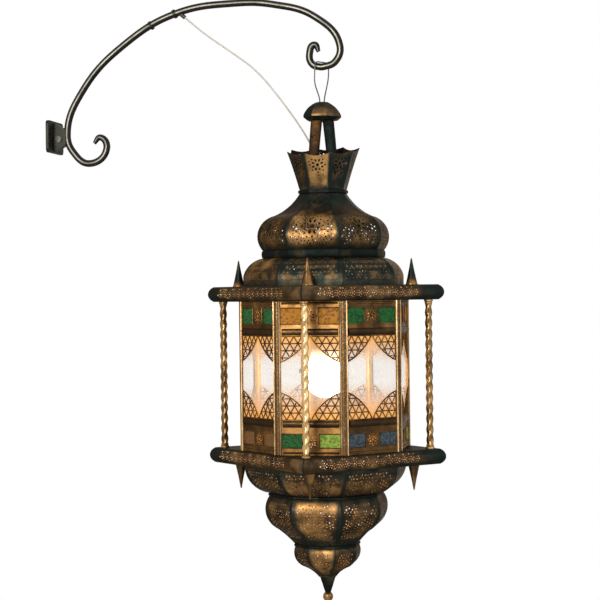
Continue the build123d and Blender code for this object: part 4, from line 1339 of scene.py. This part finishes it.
@dataclass
class PiercedForm:
    """A dome or bowl of eight pierced sides with soldered seams."""

    node: str
    finish: str
    profile: list[Point]
    pattern: Pattern
    low: float
    high: float
    margin: float
    flower: float
    pitch: float
    dot: float
    dark: Spot
    # front: painted light and shade of the sides a, b and c, repeated in turn behind.
    front: Spot
    seed: int
    beside: float = 0.62
    beside_drop: float = 3.0
    beside_size: float = 0.6
    leaf_steps: int = 5
    leaf_pitch: float = 8.0
    leaf_rise: float = 7.0
    tall_leaf: Point = (5.4, 2.2)
    flat_leaf: Point = (3.4, 1.8)
    sieve_place: float = 0.58
    sieve_rise: float = 2.0

    def build(self, finishes: Finishes) -> None:
        """Pierce one side and repeat it round the axis, each copy with its own painted light and shade."""
        gore = Gore(self.profile)
        sheet = PiercedSheet(gore.outline(), self.holes(gore), gore.ups[1:-1], gore.studs())
        bent = sheet.solid(gore.place, gore.on_seam, gore.seam(*self.dark))
        maker = MeshMaker()
        for face, angle in FACE_ANGLES.items():
            bent.put(maker, lantern_place(angle), side_shading(face, self.front))
        maker.stand_for(self.node, self.node + "_sheet", finishes[self.finish], "aged_brass", sharp=32.0,
                        weld=WELD)

    def holes(self, gore: Gore) -> list[list[Point]]:
        """Outlines of one side's holes: the pattern's own, then dots in what is left."""
        top = gore.height - self.high
        field = Piercing(gore.field(self.low, top, self.margin))
        middle = (self.low + top) / 2
        half = gore.half_width(middle)
        if self.pattern is Pattern.ROSETTE:
            field.rosette((0.0, middle), self.flower, petals=8)
            for way in (-1, 1):
                spot = (way * self.beside * half, middle - self.beside_drop)
                field.rosette(spot, self.beside_size * self.flower, petals=6)
        elif self.pattern is Pattern.ROWS:
            for step in range(-self.leaf_steps, self.leaf_steps + 1):
                across = step * self.leaf_pitch
                field.petal((across, middle), *self.tall_leaf, math.pi / 2)
                field.petal((across + self.leaf_pitch / 2, middle + self.leaf_rise), *self.flat_leaf, 0.0)
        else:
            for step in (-1, 0, 1):
                spot = (step * self.sieve_place * half, middle + self.sieve_rise)
                field.rosette(spot, self.flower, petals=6)
        field.dots((-half, self.low), (half, top), self.pitch, self.dot, Random(self.seed))
        return field.outlines


@dataclass
class Crown:
    """Flared cup over the neck, its rim slanted and hollowed between eight tips."""

    foot: Point = (31.0, -86.0)
    waist: Point = (38.5, -59.0)
    brim: Point = (53.5, -14.0)
    rim_level: float = -29.0
    rim_reach: float = 0.92
    slant: float = 0.15
    scallop: float = 4.0
    rim_steps: int = 10
    corner_gap: float = 0.2
    rung_gap: float = 1.0
    pierced_foot: float = 18.0
    pierced_gap: float = 1.5
    margin: float = 3.0
    flower: float = 9.5
    flower_drop: float = 13.0
    upper_leaf: Point = (5.0, 2.6)
    upper_leaf_place: Point = (12.5, 8.0)
    lower_leaf: Point = (5.0, 2.4)
    lower_leaf_place: Point = (5.0, 27.0)
    lower_leaf_lean: float = 0.5
    dots_half: float = 20.0
    dots_foot: float = 20.0
    dot_pitch: float = 7.4
    dot: float = 1.0
    dark: Spot = (4.0, 0.5, 12.0)
    # Painted light and shade of the sides a, b and c, repeated in turn behind.
    front: Spot = (-0.9, 1.0, -0.8)
    seed: int = 3

    def build(self, finishes: Finishes) -> None:
        """Cut each of the eight sides to its own rim and pierce it."""
        gore = Gore(arc(self.foot, self.waist, self.brim, steps=14)[::-1])
        maker = MeshMaker()
        for face, angle in FACE_ANGLES.items():
            rim = self.rim_up(gore, angle, 0.0)
            rungs = [up for up in gore.ups[1:-1] if up < rim - self.rung_gap]
            studs = [stud for stud in gore.studs() if stud[1] < rim - self.rung_gap]
            sheet = PiercedSheet(self.side_outline(gore, angle), self.holes(gore, rim), rungs, studs)
            bent = sheet.solid(gore.place, gore.on_seam, gore.seam(*self.dark))
            bent.put(maker, lantern_place(angle), side_shading(face, self.front))
        maker.stand_for("crown", "crown_sheet", finishes["crown_brass"], "aged_brass", sharp=32.0, weld=WELD)

    def holes(self, gore: Gore, rim: float) -> list[list[Point]]:
        """Outlines of one side's holes: a flower under the rim, four leaves and sparse dots."""
        field = Piercing(gore.field(self.pierced_foot, rim - self.pierced_gap, self.margin))
        field.rosette((0.0, rim - self.flower_drop), self.flower, petals=8)
        for way in (-1, 1):
            across, drop = self.upper_leaf_place
            field.petal((way * across, rim - drop), *self.upper_leaf, math.pi / 2)
            across, drop = self.lower_leaf_place
            lean = math.pi / 2 - way * self.lower_leaf_lean
            field.petal((way * across, rim - drop), *self.lower_leaf, lean)
        low, high = (-self.dots_half, self.dots_foot), (self.dots_half, rim)
        field.dots(low, high, self.dot_pitch, self.dot, Random(self.seed))
        return field.outlines

    def rim_up(self, gore: Gore, angle: float, share: float) -> float:
        """Distance up a side to its rim, at a share of the half width from -1 to 1."""
        turn = math.radians(angle)
        reach = self.brim[0] * self.rim_reach
        y = reach * math.sin(turn) + share * reach * math.tan(math.pi / SIDES) * math.cos(turn)
        level = self.rim_level + self.slant * y - self.scallop * (1.0 - share * share)
        return gore.up_at(level)

    def side_outline(self, gore: Gore, angle: float) -> list[Point]:
        """Unrolled outline of one side with its hollowed rim."""
        rim = []
        for i in range(self.rim_steps + 1):
            share = 1.0 - 2.0 * i / self.rim_steps
            up = self.rim_up(gore, angle, share)
            rim.append((share * gore.half_width(up), up))
        right_top, left_top = rim[0][1] - self.corner_gap, rim[-1][1] - self.corner_gap
        right = [(gore.half_width(up), float(up)) for up in gore.ups if up < right_top]
        left = [(-gore.half_width(up), float(up)) for up in reversed(gore.ups) if up < left_top]
        return right + rim + left


# Galleries
@dataclass
class Gallery:
    """Square gallery: pierced bull-nose rim, its two sheets and four spikes."""

    name: str
    spike_way: int
    apothem: float = 119.0
    plate_apothem: float = 113.0
    plain_end: float = 24.0
    plain_plate: float = 44.0
    plain_edge: float = 3.0
    flower: float = 5.0
    flower_pitch: float = 12.0
    dots_foot: float = 4.0
    dot_pitch: float = 4.6
    dot: float = 1.35
    seed: int = 5
    dark: Spot = (3.0, 4.0, 5.0)
    rim_gold: float = 0.1
    # Painted highlight at the rim's near corner and painted shade at its other corners.
    near_highlight: float = 0.7
    far_shade: float = -2.2
    spike_place: float = 123.0
    spike_radius: float = 8.5
    spike_height: float = 37.0
    spike_line: tuple[Point, ...] = (
        (1.0, 0.0), (1.0, 0.03), (0.92, 0.06), (0.68, 0.3), (0.4, 0.6), (0.2, 0.85), (0.11, 0.97), (0.0, 1.0),
    )
    spike_gold: float = 0.6
    glint_foot: float = 0.2

    def build(self, finishes: Finishes) -> None:
        """Make the rim and the spikes and dress the sheets."""
        self.rim(finishes)
        self.spikes(finishes)
        sheet = self.name + "_gallery_"
        dress(finishes, deck_brass=(sheet + "deck",), soffit_brass=(sheet + "soffit",))

    def rim(self, finishes: Finishes) -> None:
        """Pierce one side of the rim and mitre four of them."""
        node = self.name + "_gallery_rim"
        top, bottom = top_of(node), foot_of(node)
        nose = (self.apothem, (top + bottom) / 2)
        line = arc((self.plate_apothem, top), nose, (self.plate_apothem, bottom), steps=12)
        gore = Gore(line, len(CORNERS))
        sheet = PiercedSheet(gore.outline(), self.holes(gore), gore.ups[1:-1], gore.studs())
        bent = sheet.solid(gore.place, gore.on_seam, gore.seam(*self.dark))
        maker = MeshMaker()
        for corner in CORNERS:
            turn = corner + EIGHTH
            gold = [self.corner_shading(across, turn) for across, _ in sheet.spots]
            bent.put(maker, lantern_place(turn), gold + gold)
        maker.stand_for(node, node + "_sheet", finishes["rim_brass"], "dark_brass", sharp=40.0, weld=WELD)

    def holes(self, gore: Gore) -> list[list[Point]]:
        """Outlines of one side's holes, which leave a plain plate at one corner."""
        high = gore.height - self.plain_edge
        even = gore.field(self.plain_edge, high, self.plain_end)
        field = Piercing(lambda across, up: min(even(across, up),
                                                gore.half_width(up) - across - self.plain_plate))
        span = self.apothem - self.plain_end
        count = int(span / self.flower_pitch)
        for step in range(-count, count + 1):
            field.rosette((step * self.flower_pitch, gore.height / 2), self.flower, petals=5)
        field.dots((-span, self.dots_foot), (span, high), self.dot_pitch, self.dot, Random(self.seed))
        return field.outlines

    def corner_shading(self, across: float, turn: int) -> float:
        """Painted light and shade of the rim: a painted highlight at the near corner, painted shade at the
        other three.
        """
        nearness = max(0.0, 1.0 - (self.apothem - abs(across)) / self.plain_plate)
        corner = turn + (EIGHTH if across > 0 else -EIGHTH)
        return self.rim_gold + nearness * (self.near_highlight if corner == NEAR_CORNER else self.far_shade)

    def spikes(self, finishes: Finishes) -> None:
        """Roll four pointed cones, the upper far ones in painted shade above a painted glint at the foot."""
        node = self.name + "_spikes"
        base = foot_of(node) if self.spike_way > 0 else top_of(node)
        profile = [(width * self.spike_radius, self.spike_way * height * self.spike_height)
                   for width, height in self.spike_line]
        maker = MeshMaker()
        for corner in CORNERS:
            # Painted light: the near upper spike and the lower ones lean to gold; the far upper ones get
            # painted shade with a painted glint at the foot.
            gold = [self.spike_gold] * len(profile)
            if corner != NEAR_CORNER and self.spike_way > 0:
                gold = [1.0 if height < self.glint_foot else -1.0 for _, height in self.spike_line]
            place = lantern_place(corner, self.spike_place, base)
            maker.turned(profile, sides=20, move=place, gold=gold)
        maker.stand_for(node, node + "_cones", finishes["spike_brass"], "dark_brass", sharp=50.0)


@dataclass
class Columns:
    """Four twisted corner columns with turned feet and heads."""

    place: float = 146.0
    radius: float = 4.6
    lobe_depth: float = 0.13
    twists: float = 7.0
    steps: int = 120
    near_highlight: float = 1.0
    far_shade: float = -0.8
    foot: tuple[Point, ...] = ((6.2, 0.0), (6.2, 2.2), (5.0, 3.2), (5.4, 5.0), (4.2, 6.5))

    def build(self, finishes: Finishes) -> None:
        """Twist the shafts and turn their ends."""
        top, bottom = top_of("columns"), foot_of("columns")
        levels = [bottom + (top - bottom) * i / self.steps for i in range(self.steps + 1)]
        head = [(radius, -height) for radius, height in self.foot]
        maker = MeshMaker()
        for corner in CORNERS:
            spot = lantern_place(corner, self.place).translation
            # Painted light and shade: the near column is lighter, the far ones darker.
            gold = self.near_highlight if corner == NEAR_CORNER else self.far_shade
            shaft = [Vector((spot.x, spot.y, level)) for level in levels]
            maker.tube(shaft, self.radius, sides=16, lobes=2, depth=self.lobe_depth, twist=self.twists,
                       gold=gold)
            for profile, level in ((self.foot, bottom), (head, top)):
                maker.turned(profile, sides=24, move=Matrix.Translation((spot.x, spot.y, level)))
        maker.stand_for("columns", "twisted_columns", finishes["bright_brass"], "bright_brass", sharp=45.0)


# Glazed body
@dataclass
class FretPlan:
    """Flat plan of a fret: a pointed opening, four windows, flowers and lace corners."""

    node: str
    left: float
    right: float
    half: float
    tile_place: float
    tile_width: float
    point_top: float = -286.0
    point_bottom: float = -400.0
    shoulder_top: float = -322.0
    shoulder_bottom: float = -362.0
    bend: float = 0.44
    bend_rise: float = 14.0
    upper_tile: Point = (-260.0, 22.0)
    lower_tile: Point = (-427.0, 19.0)
    flower: float = 0.72
    flower_web: float = 0.7
    lace: float = 11.0
    lace_rows: int = 9
    lace_reach: float = 70.0
    lace_step: float = 0.5
    lace_bite: float = 0.7
    lace_edge_steps: int = 24
    least_steps: int = 5
    least_gap: float = 1.0
    bar: float = 0.8
    rail_gap: float = 1.0
    rail_half: float = 4.6
    rail_proud: float = 2.4
    rail_sunk: float = 0.2
    rail_dark: float = 0.62
    rail_end: float = 6.5
    arch_edge: float = 1.5
    side_edge: float = 6.0
    window_bead: float = 0.9
    edge_bead: float = 1.6
    arch_bead: float = 0.7
    bead_gap: float = 3.0

    def __post_init__(self) -> None:
        """Take the panel's height from its CAD node, and measure its opening and where its rails end."""
        self.top, self.bottom = top_of(self.node), foot_of(self.node)
        self.ends = (self.left + self.rail_end, self.right - self.rail_end)
        bend = self.bend * self.half
        upper_bend = (bend, self.shoulder_top + self.bend_rise)
        lower_bend = (bend, self.shoulder_bottom - self.bend_rise)
        self.upper_edge = arc((self.half, self.shoulder_top), upper_bend, (0.0, self.point_top), steps=9)
        lower_end = (self.half, self.shoulder_bottom)
        self.lower_edge = arc((0.0, self.point_bottom), lower_bend, lower_end, steps=9)

    def outline(self) -> list[Point]:
        """Corners of the whole panel."""
        low, high = self.bottom, self.top
        return [(self.left, low), (self.right, low), (self.right, high), (self.left, high)]

    def arch(self) -> list[Point]:
        """Pointed opening with a slightly wavy edge, counter-clockwise."""
        left_top = [(-x, z) for x, z in reversed(self.upper_edge)][1:]
        left_low = [(-x, z) for x, z in reversed(self.lower_edge)][:-1]
        return self.upper_edge + left_top + left_low + self.lower_edge

    def windows(self) -> list[list[Point]]:
        """The four small windows."""
        found = []
        for level, height in (self.upper_tile, self.lower_tile):
            for way in (-1, 1):
                x = way * self.tile_place
                w, h = self.tile_width / 2, height / 2
                found.append([(x - w, level - h), (x + w, level - h), (x + w, level + h), (x - w, level + h)])
        return found

    def arch_level(self, across: float, upper: bool) -> float:
        """Level of the opening's edge at a distance from the middle."""
        outward = self.upper_edge[::-1] if upper else self.lower_edge
        return float(np.interp(abs(across), *zip(*outward)))

    def lace_room(self, across: float, level: float, upper: bool) -> float:
        """Distance from a spot to the edge of its lace corner, below 0 outside it."""
        edge, start = self.arch_level(across, upper), self.lace_start(upper)
        room, rail = (level - edge, start - level) if upper else (edge - level, level - start)
        return min(room - self.arch_edge, rail, self.lace_limit() - abs(across))

    def lace_start(self, upper: bool) -> float:
        """Level of the rail's edge, where a lace corner starts."""
        return self.point_top - self.rail_gap if upper else self.point_bottom + self.rail_gap

    def lace_limit(self) -> float:
        """Distance from the middle at which the lace meets the posts."""
        return min(self.right, -self.left) - self.side_edge

    def lace_holes(self, upper: bool) -> list[list[Point]]:
        """The two open corners beside a point, which the net of bars then fills."""
        start, limit = self.lace_start(upper), self.lace_limit()
        steps = [limit * i / self.lace_edge_steps for i in range(self.lace_edge_steps + 1)]
        way = self.arch_edge if upper else -self.arch_edge
        curve = [(x, self.arch_level(x, upper) + way) for x in steps]
        curve = [(x, z) for x, z in curve if (start - z if upper else z - start) > self.least_gap]
        corner = curve + [(limit, start), (curve[0][0], start)]
        if not upper:
            corner = corner[::-1]
        return [corner, [(-x, z) for x, z in reversed(corner)]]

    def lace_bars(self) -> list[tuple[Point, Point]]:
        """Ends of the straight bars of the net of triangles, cut off at the corners' edges."""
        bars = []
        rise = self.lace * math.sqrt(3) / 2
        steps = range(int(2 * self.lace_reach / self.lace_step) + 1)
        for upper in (True, False):
            for angle in (0.0, math.radians(60), math.radians(120)):
                way = Vector((math.cos(angle), math.sin(angle)))
                normal = Vector((-way.y, way.x))
                for row in range(-self.lace_rows, self.lace_rows + 1):
                    base = Vector((0.0, self.lace_start(upper))) + normal * (rise * row)
                    run: list[Point] = []
                    for i in steps:
                        spot = base + way * (i * self.lace_step - self.lace_reach)
                        if self.lace_room(spot.x, spot.y, upper) > -self.lace_bite:
                            run.append((spot.x, spot.y))
                            continue
                        if len(run) > self.least_steps:
                            bars.append((run[0], run[-1]))
                        run = []
        return bars

    def holes(self) -> list[list[Point]]:
        """Every hole of the panel."""
        field = Piercing(lambda across, level: self.right, self.flower_web)
        gap = self.tile_place - self.tile_width / 2
        for level, height in (self.upper_tile, self.lower_tile):
            field.rosette((0.0, level), min(gap, height / 2) * self.flower, petals=8)
        lace = self.lace_holes(True) + self.lace_holes(False)
        return [self.arch(), *self.windows(), *lace, *field.outlines]

    def beads(self) -> list[tuple[list[Point], float, bool]]:
        """Lines of the raised beads, each with its radius and whether it joins its own start."""
        lines = [(window, self.window_bead, True) for window in self.windows()]
        for level in (self.top - self.bead_gap, self.bottom + self.bead_gap):
            lines.append(([(end, level) for end in self.ends], self.edge_bead, False))
        return lines + [(self.arch(), self.arch_bead, True)]


@dataclass
class GlazedBody:
    """Eight ridged posts, seven fixed frets, the hinged door and their glass."""

    panel_out: float = 111.0
    half_width: float = 44.8
    opening_half: float = 40.5
    tile_place: float = 26.0
    tile_width: float = 29.0
    door_out: float = 113.9
    door_left: float = -40.0
    door_right: float = 41.0
    door_opening_half: float = 35.5
    door_tile_place: float = 23.5
    door_tile_width: float = 23.0
    post_out: float = 111.1
    wing: float = 6.0
    wing_steps: int = 14
    strip: float = 0.6
    ridge: float = 1.6
    ridge_place: float = 4.4
    ridge_width: float = 0.9
    highlight_place: float = 4.5
    highlight_width: float = 1.0
    rail_steps: int = 8
    # Painted light and shade of the frets on the sides a, b and c, repeated in turn behind.
    front: Spot = (-0.3, 0.8, -0.2)

    def build(self, finishes: Finishes) -> None:
        """Make the posts, the frets and the door, and dress the glass and the hardware."""
        brass = finishes["band_brass"]
        plan = FretPlan("corner_posts", -self.half_width, self.half_width, self.opening_half, self.tile_place,
                        self.tile_width)
        for face, angle in FACE_ANGLES.items():
            if face != DOOR_FACE:
                node = "fret_panel_" + face
                fret = self.fret(plan, angle, self.panel_out, side_shading(face, self.front))
                fret.stand_for(node, node + "_lace", brass, "aged_brass", sharp=35.0)
        plan = FretPlan("door_fret", self.door_left, self.door_right, self.door_opening_half,
                        self.door_tile_place, self.door_tile_width)
        door = self.fret(plan, FACE_ANGLES[DOOR_FACE], self.door_out, 0.0)
        door.stand_for("door_fret", "door_lace", brass, "aged_brass", sharp=35.0, body="door")
        self.posts(finishes)
        dress(finishes, clear_glass=("clear_panes", "door_pane"), green_glass=("green_tiles", "door_tiles"),
              amber_glass=("amber_tiles",), lime_glass=("lime_tiles",), blue_glass=("blue_tiles",),
              small_brass=("post_knuckles", "door_knuckles", "latch_rivet", "latch_stud", "latch_hook"),
              steel=("hinge_pins",))

    def fret(self, plan: FretPlan, angle: float, out: float, gold: float) -> MeshMaker:
        """Make one fret with its raised beads, its net of bars and its two rails.

        Args:
            plan: Its flat plan.
            angle: Direction that its face looks, in degrees.
            out: Distance of its outer face from the axis.
            gold: Painted light and shade: 1 leans to a painted highlight in gold, -1 to painted shade.

        Returns:
            Its mesh.
        """
        maker = MeshMaker()
        move = lantern_place(angle)
        flat = PiercedSheet(plan.outline(), plan.holes())
        flat.solid(lambda x, z, depth: Vector((out - depth, x, z))).put(maker, move, gold)
        for line, radius, closed in plan.beads():
            maker.tube([move @ Vector((out, x, z)) for x, z in line], radius, sides=6, closed=closed)
        for ends in plan.lace_bars():
            maker.tube([move @ Vector((out - SHEET / 2, x, z)) for x, z in ends], plan.bar, sides=5)
        for level in (plan.point_top + plan.rail_half, plan.point_bottom - plan.rail_half):
            self.rail(maker, plan, move, out, level)
        return maker

    def rail(self, maker: MeshMaker, plan: FretPlan, move: Matrix, out: float, level: float) -> None:
        """Add a dark half-round rail across a fret.

        Args:
            maker: Mesh that it goes to.
            plan: Flat plan of the fret.
            move: Placing matrix of the fret.
            out: Distance of the fret's outer face from the axis.
            level: Middle of the rail.
        """
        angles = [math.pi * i / self.rail_steps for i in range(self.rail_steps + 1)]
        face = out - plan.rail_sunk
        section = [(face + plan.rail_proud * math.sin(angle), level + plan.rail_half * math.cos(angle))
                   for angle in angles]
        verts = [Vector((x, across, z)) for across in plan.ends for x, z in section]
        maker.add(verts, skin(2, len(section), flip=True), move, seam=plan.rail_dark)

    def posts(self, finishes: Finishes) -> None:
        """Bend the eight angle strips with a ridge down each wing, each ridge with a painted highlight."""
        slope = math.pi / SIDES
        vertex = self.post_out / math.cos(slope)
        outer: list[Point] = []
        dark: list[float] = []
        for i in range(-self.wing_steps, self.wing_steps + 1):
            along = self.wing * abs(i) / self.wing_steps
            proud = self.strip + self.ridge * math.exp(-((along - self.ridge_place) / self.ridge_width) ** 2)
            # Painted highlight: the seam mark is 1 off each ridge, darkening it towards patina, and falls to
            # 0 along the ridge, which stays bright.
            dark.append(1.0 - math.exp(-((along - self.highlight_place) / self.highlight_width) ** 2))
            x = vertex - along * math.sin(slope) + proud * math.cos(slope)
            y = along * math.cos(slope) + proud * math.sin(slope)
            outer.append((x, y * ((i > 0) - (i < 0))))
        foot, side = vertex - self.wing * math.sin(slope), self.wing * math.cos(slope)
        inner = [(foot, side), (vertex, 0.0), (foot, -side)]
        section = outer + inner
        verts = [Vector((x, y, level)) for level in (foot_of("corner_posts"), top_of("corner_posts"))
                 for x, y in section]
        marks = (dark + [0.0] * len(inner)) * 2
        # The inner faces take a painted lamp glow.
        lit = ([0.0] * len(outer) + [1.0] * len(inner)) * 2
        faces = skin(2, len(section))
        maker = MeshMaker()
        for angle in FACE_ANGLES.values():
            maker.add(verts, faces, lantern_place(angle + EIGHTH / 2), seam=marks, inside=lit)
        maker.stand_for("corner_posts", "ridged_posts", finishes["post_brass"], "bright_brass", sharp=60.0)


# Lamp
@dataclass
class Lamp:
    """Lit bulb in its holder under the upper gallery."""

    bulb_radius: float = 30.0
    globe_end: int = 128
    globe_step: int = 6
    neck: tuple[Point, ...] = ((17.5, -10.0), (14.4, -5.0), (13.6, 0.0))
    cap_radius: float = 13.0
    thread_depth: float = 0.9
    thread_turns: int = 7

    def build(self, finishes: Finishes) -> None:
        """Blow the bulb, thread its cap and dress the holder."""
        centre = middle_of("bulb_glass")
        place = Matrix.Translation((centre.x, centre.y, 0.0))
        middle, top = foot_of("bulb_glass") + self.bulb_radius, top_of("bulb_glass")
        angles = [math.radians(angle) for angle in range(0, self.globe_end, self.globe_step)]
        globe = [(self.bulb_radius * math.sin(angle), middle - self.bulb_radius * math.cos(angle))
                 for angle in angles]
        bulb = MeshMaker()
        neck = [(radius, top + drop) for radius, drop in self.neck]
        bulb.turned(globe + neck, sides=40, move=place)
        bulb.stand_for("bulb_glass", "bulb", finishes["bulb_glass"], "bulb_glass", sharp=60.0)
        cap_top, cap_foot = top_of("bulb_cap"), foot_of("bulb_cap")
        steps = 2 * self.thread_turns
        thread = [(self.cap_radius - i % 2 * self.thread_depth, cap_foot + (cap_top - cap_foot) * i / steps)
                  for i in range(steps + 1)]
        cap = MeshMaker()
        cap.turned(thread, sides=32, move=place)
        cap.stand_for("bulb_cap", "threaded_cap", finishes["steel"], "steel", sharp=60.0)
        dress(finishes, black_plastic=("lamp_holder", "cord_gland"), dark_brass=("lamp_bridge",),
              cord_cover=("inner_lead",))


# Handle, collars and finial
@dataclass
class Handle:
    """Wire loop, pin, mushroom cap and the two-legged bail."""

    leg_top: float = 8.3
    leg_foot: float = 14.5
    half_top: float = 7.8
    half_foot: float = 6.5
    half_depth: float = 5.6
    roundness: float = 0.55
    steps: int = 24
    section_points: int = 20
    # Painted light and shade: the left leg runs from gold to dark, the right leg stays dark.
    leg_shading: tuple[Point, Point] = ((0.6, -1.0), (-1.8, -1.6))

    def build(self, finishes: Finishes) -> None:
        """Bend the bail's two legs and dress the other pieces."""
        maker = MeshMaker()
        for side, gold in zip((-1, 1), self.leg_shading):
            self.leg(maker, side, gold)
        maker.stand_for("handle_bail", "bail_legs", finishes["bail_brass"], "aged_brass", sharp=50.0)
        dress(finishes, dark_wire=("hanging_wire",), steel=("handle_pin",), cap_brass=("handle_cap",))

    def leg(self, maker: MeshMaker, side: int, gold: Point) -> None:
        """Add one flat leg with rounded edges, leaning to the other at the top.

        Args:
            maker: Mesh that it goes to.
            side: -1 for the left leg, 1 for the right one.
            gold: Its painted light and shade at the top and at the foot.
        """
        top, foot = top_of("handle_bail"), foot_of("handle_bail")
        section = [tuple(math.copysign(abs(value) ** self.roundness, value) for value in corner)
                   for corner in ring((0.0, 0.0), 1.0, self.section_points)]
        verts = []
        shading: list[float] = []
        for i in range(self.steps + 1):
            share = i / self.steps
            spread = math.sin(share * math.pi / 2)
            middle = side * (self.leg_top + (self.leg_foot - self.leg_top) * spread)
            half = self.half_top + (self.half_foot - self.half_top) * share
            level = top + (foot - top) * share
            shading += [gold[0] + (gold[1] - gold[0]) * share] * len(section)
            verts += [AXIS + Vector((middle + half * wide, self.half_depth * deep, level))
                      for wide, deep in section]
        maker.add(verts, skin(self.steps + 1, len(section), flip=True), gold=shading)


@dataclass
class Finial:
    """Collars between the forms, tapered stem and brass ball."""

    collars: tuple[str, ...] = ("neck_collar", "dome_collar", "upper_bowl_collar", "lower_bowl_collar")

    def build(self, finishes: Finishes) -> None:
        """Dress the collars and the finial."""
        dress(finishes, dark_brass=(*self.collars, "finial_cone"), small_brass=("finial_ball",))


def pierced_forms() -> list[PiercedForm]:
    """The domes and bowls from top to bottom."""
    shoulder = arc((31.0, -90.0), (46.0, -109.0), (64.0, -121.0), steps=10)
    belly = arc((64.0, -121.0), (86.5, -144.0), (80.0, -170.0), steps=14)
    swell = arc((79.0, -180.0), (97.5, -189.5), (106.0, -205.0), steps=10)
    wall = [(106.0, -212.0), (106.0, -219.0)]
    wide = arc((107.0, -467.0), (101.5, -488.0), (76.0, -506.0), steps=12)
    full = arc((75.5, -510.0), (81.0, -529.0), (63.5, -557.5), steps=12)
    neck = arc((63.5, -557.5), (52.0, -568.0), (43.0, -578.0), steps=6)
    small = arc((42.5, -582.0), (43.0, -597.0), (30.0, -611.0), steps=10)
    stem = arc((30.0, -611.0), (19.0, -618.0), (11.5, -626.0), steps=6)
    return [
        PiercedForm("upper_dome", "dome_brass", shoulder + belly[1:], Pattern.ROSETTE, low=5.0, high=46.0,
                    margin=3.5, flower=13.0, pitch=5.2, dot=1.3, dark=(6.0, 74.0, 14.0),
                    front=(-0.4, 0.45, -0.6), seed=11),
        PiercedForm("skirt", "skirt_brass", swell + wall, Pattern.ROWS, low=4.0, high=4.0, margin=4.0,
                    flower=6.0, pitch=5.6, dot=0.95, dark=(6.0, 4.0, 8.0), front=(0.1, -1.0, -1.4), seed=12),
        PiercedForm("upper_bowl", "aged_brass", wide, Pattern.SIEVE, low=3.0, high=3.0, margin=5.0,
                    flower=8.0, pitch=5.0, dot=1.3, dark=(6.0, 32.0, 12.0), front=(-1.5, 0.2, -0.2), seed=13),
        PiercedForm("middle_bowl", "aged_brass", full + neck[1:], Pattern.SIEVE, low=12.0, high=6.0,
                    margin=5.0, flower=7.5, pitch=5.2, dot=1.4, dark=(11.0, 9.0, 36.0),
                    front=(-0.7, 0.5, -0.5), seed=14),
        PiercedForm("lower_bowl", "aged_brass", small + stem[1:], Pattern.ROSETTE, low=16.0, high=3.0,
                    margin=3.0, flower=8.5, pitch=4.4, dot=1.3, dark=(5.0, 4.0, 24.0),
                    front=(-0.4, 0.8, -0.2), seed=15),
    ]


def main() -> None:
    """Build every sub-assembly in order."""
    logging.basicConfig(level=logging.INFO, format="%(name)s: %(message)s")
    Studio().build()
    finishes = make_finishes()
    galleries = (Gallery("upper", 1), Gallery("lower", -1))
    for part in (SupplyCord(), Bracket(), Handle(), Crown(), *pierced_forms(), *galleries, Columns(),
                 GlazedBody(), Lamp(), Finial()):
        part.build(finishes)


if __name__ == "__main__":
    main()
